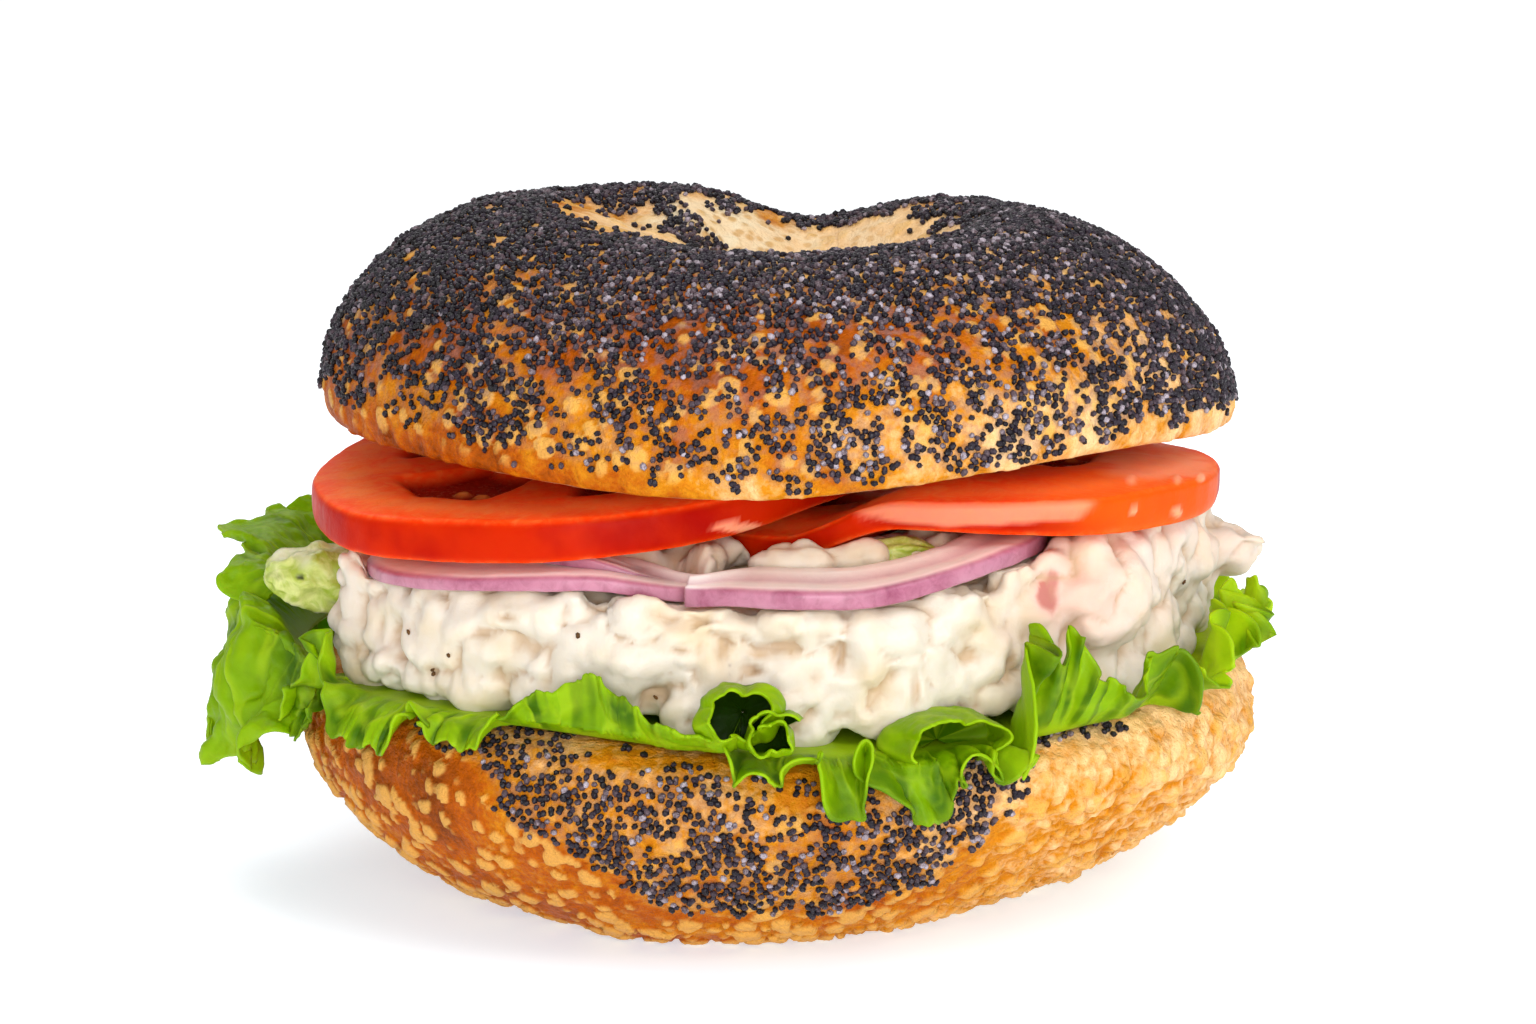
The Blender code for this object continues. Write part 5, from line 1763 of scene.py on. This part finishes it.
@dataclass(frozen=True)
class LettuceFinish(Finish):
    """Frilly lettuce: fresh green, paler towards its root and along branching veins.

    It reads the masks edge, from 0 at the root to 1 at the frill, vein and fold, which is painted
    shade in the folds and goes past 1 where the leaf is in deep shade.
    """

    name: str = "lettuce"
    bright: Colour = srgb(122, 160, 0)
    deep: Colour = srgb(58, 96, 0)
    pale: Colour = srgb(172, 200, 26)
    rim: Colour = srgb(150, 180, 6)
    shade: Colour = srgb(24, 46, 0)

    def build(self) -> bpy.types.Material:
        """Green by noise, with painted shade by the mask fold, veins, a pale root and a light rim."""
        s = Shader(self.name)
        broad, fine = s.speckle(6.0, 3.0, 0.55), s.speckle(0.7)
        # Deeper green by noise, and as painted shade in the folds.
        colour = s.mix((broad * 0.7 + s.mask("fold") * 0.5).band(0.3, 0.85), self.bright, self.deep)
        colour = s.mix((1.0 - s.mask("edge")).band(0.8, 1.0) * 0.4, colour, self.pale)
        colour = s.mix(s.mask("vein") * 0.55, colour, self.pale)
        colour = s.mix(s.mask("edge").band(0.8, 1.0) * broad * 0.5, colour, self.rim)
        # Near black as painted deep shade where that mask passes 1.
        colour = s.mix((s.mask("fold") - 1.0).band(0.0, 1.0), colour, self.shade)
        rough, normal = 0.3 + fine * 0.25, s.bump(fine * 0.4 + broad * 0.6, 0.3, 0.6)
        return s.finish(colour, rough, 0.1, Normal=normal, inside=(0.3, (0.5, 1.0, 0.1), 0.0012))


@dataclass
class Leaf:
    """What all leaves share: thin closed skins over grids from the root to the frill.

    crinkle is how far the puckers between the veins stand out, in millimetres.
    """

    name: str
    thickness: float = 0.5
    crinkle: float = 1.1
    finish: LettuceFinish = LettuceFinish()

    def closed(self, middle: Array, way: Array, fold: Array) -> Sheet:
        """Gives a sheet its thickness, its puckers and its veins.

        Args:
            middle: The sheet's points, rows along the leaf and columns from the root outwards.
            way: How far each point is from root to frill, from 0 to 1.
            fold: Painted shade, by how deep each point lies in a fold, from 0 to 1, and more in deep shade.

        Returns:
            The closed skin's points, masks and faces.
        """
        normals = grid_normals(middle, False, False)
        span = np.linalg.norm(np.diff(middle[:, way.shape[1] // 2], axis=0), axis=1)
        along = np.append(0, np.cumsum(span))[:, None]
        net = nudged(stacked(along * 0.9, way * 7, len(self.name)), 3, 4.0, 5)
        ribs = 1 - ease(np.abs(swing(net * [1, 0.35, 1], 3.2, 9)), 0, 0.18)
        twigs = 1 - ease(np.abs(swing(net, 1.7, 10)), 0, 0.24)
        vein = np.maximum(ribs, 0.45 * twigs) * ease(way, 0.02, 0.2) * (1 - 0.5 * way)
        puff = ripple(middle, 2.8, 3, 12) * self.crinkle * ease(way, 0.0, 0.3) - 0.2 * vein
        half = self.thickness / 2 * (1.1 - 0.5 * way)
        under = middle + normals * (half + puff)[..., None]
        over = middle - normals * (half - puff)[..., None]
        masks = {"edge": way, "vein": vein, "fold": fold}
        doubled = {name: np.hstack([mask, mask[:, ::-1]]) for name, mask in masks.items()}
        return capped(np.hstack([under, over[:, ::-1]]), doubled, False)

    def add(self, *sheets: Sheet) -> None:
        """Makes one piece of the leaf's sheets and dresses it."""
        add_piece(self.name + "_leaf", joined(sheets), self.finish, Slot.LETTUCE, self.name)


@dataclass(frozen=True)
class Curl:
    """A lobe rolled round a line that runs outwards, open to the front.

    right and down are the pixel of the photograph where its mouth is centred. wide and tall are
    its half sizes, root and depth say how far out it starts and how long it is, all in
    millimetres. It turns from the angle first to the angle last, in degrees, and its size
    shrinks on the way to the share inner, and to the share mouth at its front. shut is how much
    of its length goes into a bottom.
    """

    right: float
    down: float
    wide: float
    tall: float
    first: float
    last: float
    inner: float
    mouth: float
    shut: float
    root: float
    depth: float

    def sheet(self, leaf: Leaf, studio: Studio) -> Sheet:
        """Makes the lobe: x = size * wide * cos(turn), z = size * tall * sin(turn), higher at the mouth.

        Args:
            leaf: The leaf that it belongs to.
            studio: The camera, for its place.

        Returns:
            The lobe's points, masks and faces.
        """
        walls = np.meshgrid(np.radians(np.linspace(-170, -10, 641)), np.linspace(10, 60, 251), indexing="ij")
        angle, height = studio.meet(walls, self.root + self.depth, self.right, self.down)
        part = np.linspace(0, 1, 96)[:, None]
        way = np.linspace(0, 1, 26)
        turn = np.radians(self.first + (self.last - self.first) * part)
        bulge = np.sqrt(ease(way, 0.0, self.shut)) * (1 - (1 - self.mouth) * ease(way, self.shut, 1.1))
        size = (1 + (self.inner - 1) * part) * (0.04 + 0.96 * bulge)
        waves = 0.13 * np.sin(3.7 * turn) + 0.05 * np.sin(8 * turn)
        size = size * (1 + 0.1 * np.sin(2.2 * turn + 1) + waves * way)
        aside, up = size * self.wide * np.cos(turn), size * self.tall * np.sin(turn)
        r = self.root + self.depth * way + (0.8 * np.sin(3 * turn + 2) + 0.3 * np.sin(8 * turn)) * way
        x = r * math.cos(angle) - aside * math.sin(angle)
        y = r * math.sin(angle) + aside * math.cos(angle)
        middle = stacked(x, y, height + up + 0.2 * self.tall * ease(way, self.shut, 1.0))
        shade = 2.0 * (1 - ease(way, self.shut - 0.14, self.shut + 0.06)) + 0 * turn
        return leaf.closed(middle, 0.3 + 0.7 * way + 0 * turn, shade)


@dataclass
class FrillLeaf(Leaf):
    """A leaf that lies flat under the salad and whose edge waves up and down past the rim.

    keys holds angle, tilt, reach and curl at each wave, in degrees and millimetres, and curls the
    lobes that are rolled up.
    """

    keys: tuple[tuple[float, ...], ...] = ()
    curls: tuple[Curl, ...] = ()
    inner_radius: float = 34.0
    fold_radius: float = 57.6
    lift: float = 0.95
    steps: int = 760

    @staticmethod
    def keep_clear(angle: Array, r: Array, z: Array) -> Array:
        """Moves points out of the lower half's side and of the salad's.

        Args:
            angle: Their angles in radians.
            r: Their distances from the axis.
            z: Their heights.

        Returns:
            Distances of at least the bread's, where it is as high, or the salad's, plus some room.
        """
        low, room = BottomHalf(), 1.2
        shoulder = np.clip((z - low.widest_z) / (low.cut_z - low.widest_z), 0, 1)
        below = np.clip((low.widest_z - z) / low.widest_z, 0, 1)
        bread = low.radius + 1.2 - 5 * (1 - np.sqrt(1 - 0.99 * shoulder**2)) - 24 * below**1.6
        top = low.cut(angle, low.cut_radius)
        r = np.where(z < top + 0.3, np.maximum(r, bread + room), r)
        return np.where(z > top + 2.3, np.maximum(r, ChickenSalad.reach(angle) + 3.2 + room), r)

    def key_at(self, angle: Array, column: int) -> Array:
        """A column of the keys at each angle, held near each key and eased to the next.

        Args:
            angle: Angles in radians.
            column: Which number of the keys.

        Returns:
            One number for each angle.
        """
        table = np.array(self.keys, float)
        place = np.interp(angle, np.radians(table[:, 0]), np.arange(len(table)))
        low = np.minimum(place.astype(int), len(table) - 2)
        values = table[:, column]
        return values[low] + (values[low + 1] - values[low]) * ease(1.2 * (place - low) - 0.1)

    def build(self, studio: Studio) -> None:
        """Makes the leaf: each line from root to frill leans by the tilt there, plus ruffles.

        Args:
            studio: The camera, for the places of the curls.
        """
        angle = np.radians(np.linspace(self.keys[0][0], self.keys[-1][0], self.steps))[:, None]
        teeth = turn_noise(angle, 60, 4) + 0.4 * turn_noise(angle, 150, 5)
        reach = self.key_at(angle, 2) * (1 + 0.18 * (teeth - 0.7))
        low = BottomHalf()
        cut = low.cut(angle, low.cut_radius) + self.lift
        way = np.linspace(0, 1, 19)[None]
        middle_way = (way[:, 1:] + way[:, :-1]) / 2
        drift = 2.5 * turn_noise(angle, 9, 6)
        ruffle, fine = np.sin(angle * 58 + 7 * drift), np.sin(angle * 133 + 9 * drift)
        steady = lobes(angle, 0, (0.8, -106, 8), (0.5, -50, 8), (0.5, -132, 14))
        loose = (0.25 + 1.3 * turn_noise(angle, 11, 16)) * (1 - steady).clip(0.1)
        tilt, curl = np.radians(self.key_at(angle, 1)), np.radians(self.key_at(angle, 3))
        lean = tilt + curl * (middle_way - 0.5) + 0.55 * loose * ruffle * middle_way**0.9
        lean = lean + 0.22 * loose * fine * middle_way**2
        strip = reach * np.diff(way)
        fold_radius = lobes(angle, self.fold_radius, (-2, -108, 14))
        past_r = fold_radius + np.cumsum(strip * np.cos(lean), axis=1)
        past_z = cut + np.cumsum(strip * np.sin(lean), axis=1)
        past_way = way[:, 1:] + 0 * angle
        sway = 1.5 * past_way**2 * np.cos(angle * 58 + 4 * drift)
        sway = sway + 0.7 * past_way**3 * np.cos(angle * 133 + 5 * drift)
        turned = angle + sway * loose / past_r
        past_r = self.keep_clear(angle, past_r, past_z)
        flat = np.linspace(0, 1, 8)
        flat_r = self.inner_radius + (fold_radius - self.inner_radius) * flat
        inner = low.cut(angle, self.inner_radius) + self.lift
        flat_z = inner + (cut - inner) * ease(flat, 0.0, 0.85)
        turned = np.hstack([angle + 0 * flat_r, turned])
        middle = placed(turned, np.hstack([flat_r, past_r]), np.hstack([flat_z, past_z]))
        every_way = np.hstack([0 * flat_r, past_way])
        # Painted shade, deepest in the troughs of the ruffles.
        fold = np.hstack([0 * flat_r, ease(-ruffle - 0.5 * fine, -0.4, 1.0) * np.sqrt(past_way)])
        self.add(self.closed(middle, every_way, fold), *(curl.sheet(self, studio) for curl in self.curls))


@dataclass
class HangingLeaf(Leaf):
    """The leaf at the left that arches out over the rim and hangs down in folds."""

    root: float = 58.2

    def build(self) -> None:
        """Makes the leaf from heights and reaches on its way out, over and down."""
        degrees = np.linspace(150, 206, 460)[:, None]
        angle = np.radians(degrees)
        way = np.linspace(0, 1, 72)
        along = partial(np.interp, way, np.linspace(0, 1, 6))
        loose = along([0.0, 0.3, 0.7, 0.9, 1.0, 1.0])
        ends = (1 - ease(degrees, 150, 163)) + ease(degrees, 192, 206)
        ridge = ease(way, 0.0, 0.3) * (1 - ease(way, 0.55, 1.0))
        sinks = ridge * (4.2 * ends + 3.4 * (turn_noise(angle, 11, 8) - 0.45))
        short = 9.0 * (1 - lobe(angle, 187, 21)) + 5.0 * ease(degrees, 198, 206)
        sheet = nudged(stacked(angle * 64, way * 34, 0), 7, 11.0, 3)
        folds = swing(sheet * [1, 0.36, 1], 6.4, 4)
        sideways = swing(sheet * [1, 0.36, 1] + 50, 6.0, 6)
        small = swing(sheet * [1, 0.7, 1], 3.1, 5)
        frill = np.sin(angle * 110 + 8 * folds) * ease(way, 0.7, 1.0)
        ragged = 0.9 * np.sin(angle * 41 + 2) + 0.8 * np.sin(angle * 93 + 3 * folds)
        out = (3.3 + 9.0 * lobe(angle, 180, 15)) * along([0.0, 0.4, 0.75, 0.95, 1.03, 0.97])
        r = self.root + out + (3.1 * folds + 1.2 * small + 0.9 * frill - 0.9) * loose
        z = along([29.6, 33.6, 35.4, 30.0, 22.5, 15.6]) - sinks
        z = z + (short + ragged) * along([0.0, 0.0, 0.0, 0.2, 0.6, 1.0])
        z = z + (0.9 * small + 0.6 * frill) * loose
        r = np.clip(FrillLeaf.keep_clear(angle, r, z), 0, 72.2)
        turned = angle + (3.4 * sideways + 0.8 * frill) * loose / r
        # Painted shade in the troughs of the folds.
        fold = ease(-folds - 0.5 * small, -0.2, 0.9) * loose
        self.add(self.closed(placed(turned, r, z), way + 0 * angle, fold))


@dataclass
class StandingLeaf(Leaf):
    """The frill that stands up at the left, behind the piece of celery."""

    root: float = 57.4

    def build(self) -> None:
        """Makes the leaf from heights and reaches on its way up, with a flap that turns down."""
        degrees = np.linspace(154, 190, 300)[:, None]
        angle = np.radians(degrees)
        way = np.linspace(0, 1, 44)
        height = np.interp(way, [0.0, 0.2, 0.6, 1.0], [34.2, 38.0, 42.0, 43.6])
        ends = ease(degrees, 153, 160) * (1 - ease(degrees, 184, 191))
        flap = lobe(angle, 184, 5)
        reach = (4.5 + 6.0 * lobe(angle, 174, 9) + 2.5 * flap) * (0.35 + 0.65 * ends)
        sheet = nudged(stacked(angle * 62, way * 12, 0), 4, 8.0, 3)
        folds = swing(sheet * [1, 0.4, 1], 5.2, 14)
        small = swing(sheet * [1, 0.8, 1], 2.6, 15)
        sideways = swing(sheet * [1, 0.4, 1] + 30, 5.0, 16)
        edge = 1 + 0.22 * (2 * turn_noise(angle, 26, 9) - 1) * way
        r = self.root + reach * way * edge + (2.2 * folds + 0.9 * small) * way
        z = height + ((2.4 * folds[:, ::-1] + small) * ends - 4 * (1 - ends)) * way - 6.5 * flap * way**1.5
        # Painted shade in the troughs of the folds.
        fold = ease(-folds - 0.5 * small, -0.3, 0.9) * way
        self.add(self.closed(placed(angle + 2.6 * sideways * way / r, r, z), way + 0 * angle, fold))


FRONT_KEYS = (
    (-158, -45, 8.0, -30), (-153, 10, 6.0, 20), (-149, 62, 9.0, 40), (-146, 20, 6.0, 0),
    (-142.5, -34, 8.0, -70), (-135, -38, 8.0, -70), (-131.5, 6, 5.0, 20), (-128, -24, 6.0, -60),
    (-122.5, -26, 6.5, -60), (-119.5, 22, 6.0, 30), (-115, 50, 7.0, 60), (-109.5, 62, 9.5, 40),
    (-106, 50, 8.0, 60), (-101, 30, 8.0, 60), (-98, 20, 8.2, 30), (-95, 16, 8.0, 10), (-92, -14, 7.0, -20),
    (-88, -10, 7.0, 0), (-85.5, 16, 7.5, 30), (-82.5, -36, 9.0, -50), (-79, 0, 7.0, 0), (-75, -46, 9.5, -50),
    (-71, -12, 7.0, -20), (-66, -8, 7.5, -40), (-62.8, -25, 8.5, -60), (-61.5, 66, 13.5, 20),
    (-60, 76, 13.5, 15), (-58, 66, 10.5, 30), (-55.8, 72, 13.0, 20), (-53, 50, 8.5, 50), (-48, 32, 8.0, 60),
    (-43.8, 62, 10.0, 40), (-41, 66, 10.0, 30), (-39, 0, 6.5, 0),
)
FRONT_CURLS = (
    Curl(740, 724, 4.8, 4.5, 262, -112, 0.82, 0.68, 0.5, 58.0, 6.4),
    Curl(774, 742, 3.3, 3.3, 30, 520, 0.45, 0.9, 0.5, 60.0, 5.6),
    Curl(962, 752, 6.4, 4.0, 205, -42, 0.9, 0.8, 0.05, 55.5, 7.5),
)
RIGHT_KEYS = (
    (-36.5, 35, 7.0, 30), (-33, 12, 7.0, 0), (-28, 72, 9.5, 30), (-23, 45, 9.0, 40), (-18.5, 74, 10.0, 30),
    (-13, 38, 7.0, 30), (-8.5, 68, 9.0, 20), (-3, 8, 4.8, 0), (4, -10, 4.8, 0), (10, 25, 5.8, 20),
    (15.5, -22, 6.5, -30), (22, 55, 8.5, 30), (30, -30, 7.5, -40), (38, 50, 8.5, 30), (46, -10, 7.0, 0),
)
BACK_KEYS = (
    (50, 10, 6.5, 0), (58, 58, 8.5, 30), (66, -35, 7.5, -40), (73, 45, 8.0, 30), (82, -25, 7.0, -30),
    (92, 62, 9.0, 30), (102, -45, 8.0, -40), (110, 35, 7.0, 30), (117, -15, 7.0, 0), (127, 60, 8.5, 30),
    (137, -35, 8.0, -40), (146, 20, 6.5, 0),
)


# The whole sandwich


@dataclass
class BagelSandwich:
    """The sandwich, with each filling where the frame has it."""

    studio: Studio = field(default_factory=Studio)

    def add_lettuce(self) -> None:
        """Adds the five leaves."""
        FrillLeaf("lettuce_front", keys=FRONT_KEYS, curls=FRONT_CURLS, steps=1100).build(self.studio)
        # A lighter green copy of the lettuce finish, for the right leaf.
        lighter_green = LettuceFinish(bright=srgb(154, 186, 6), deep=srgb(82, 122, 0), pale=srgb(186, 206, 30))
        FrillLeaf("lettuce_right", keys=RIGHT_KEYS, finish=lighter_green).build(self.studio)
        FrillLeaf("lettuce_back", keys=BACK_KEYS).build(self.studio)
        HangingLeaf("lettuce_left_lower", crinkle=2.0).build()
        StandingLeaf("lettuce_left_upper", crinkle=1.8).build()

    def add_celery(self) -> None:
        """Adds the two pieces of celery."""
        front = ((15.5, -41.2, 47.2), (4.6, 2.4, 1.9), (1, 0.1, 0), (0, 0, 1), -0.25)
        left = ((-54.2, -14, 38.8), (6.9, 4.3, 4.4), (1, 0.1, -0.1), (0.1, -1, 0.2), -0.06, (300, 577))
        CeleryPiece("celery_front", *front).build(self.studio)
        CeleryPiece("celery_left", *left).build(self.studio)

    @staticmethod
    def onions() -> tuple[OnionArc, ...]:
        """The three arcs of onion, each with the height that its middle has there.

        Returns:
            Arcs at the left, the right and the back.
        """

        def left(x: Array, y: Array) -> Array:
            """Level, and drooping towards both ends."""
            return 45.1 - 1.7 * ease((x + 21) / 13) - 0.1 * soft_ramp(-26 - x, 3)

        def right(x: Array, y: Array) -> Array:
            """Low at the left, where the other arc ends, and rising to the right."""
            return 44.0 + 3.3 * ease((x - 8) / 24) - 0.5 * ease((-x - 4) / 6)

        return (
            OnionArc("onion_left", (-20, -24), 28, -195, -64, left, thickness=1.8, layer=(-112, -58)),
            OnionArc("onion_right", (6, -30), 27, -123, 12, right, thickness=2.4),
            OnionArc("onion_back", (2, 22), 29, 20, 160, lambda x, y: 48.6 + 0 * x),
        )

    @staticmethod
    def tomatoes() -> tuple[TomatoSlice, ...]:
        """The three slices, each with the height that its middle has there.

        Returns:
            Slices at the left, the right and the back.
        """

        def left(x: Array, y: Array) -> Array:
            """Level at the back and sloping down to the left front."""
            return 54.3 - 0.145 * soft_ramp(-0.642 * x - 0.767 * y - 21, 5)

        def right(x: Array, y: Array) -> Array:
            """High at the right, with a step down to lie under the left slice."""
            return 52.6 - 5.1 * ease((-0.85 * x + 0.53 * y + 37) / 16)

        shape = {"turn": -95.0, "droop": 1.2, "sag": 2.0, "hollow_reach": 0.6}
        return (
            TomatoSlice("tomato_left", (-21.5, -17), 34.3, 4.4, left, brim=1.0),
            TomatoSlice("tomato_right", (21.2, -12.5), 34.2, 4.0, right, **shape),
            TomatoSlice("tomato_back", (-2, 38.5), 19.3, 3.8, lambda x, y: 53.4 - 0.03 * y),
        )

    def build(self) -> None:
        """Builds every piece, from the bottom up."""
        onions, tomatoes = self.onions(), self.tomatoes()
        self.studio.build()
        BottomHalf().build(self.studio)
        self.add_lettuce()
        ChickenSalad(onions + tomatoes).build(self.studio)
        self.add_celery()
        for onion in onions:
            onion.build()
        for tomato in tomatoes:
            tomato.build(self.studio)
        TopHalf().build(self.studio)


def main() -> None:
    """Builds the sandwich."""
    logging.basicConfig(level=logging.INFO, format="%(message)s")
    BagelSandwich().build()


if __name__ == "__main__":
    main()
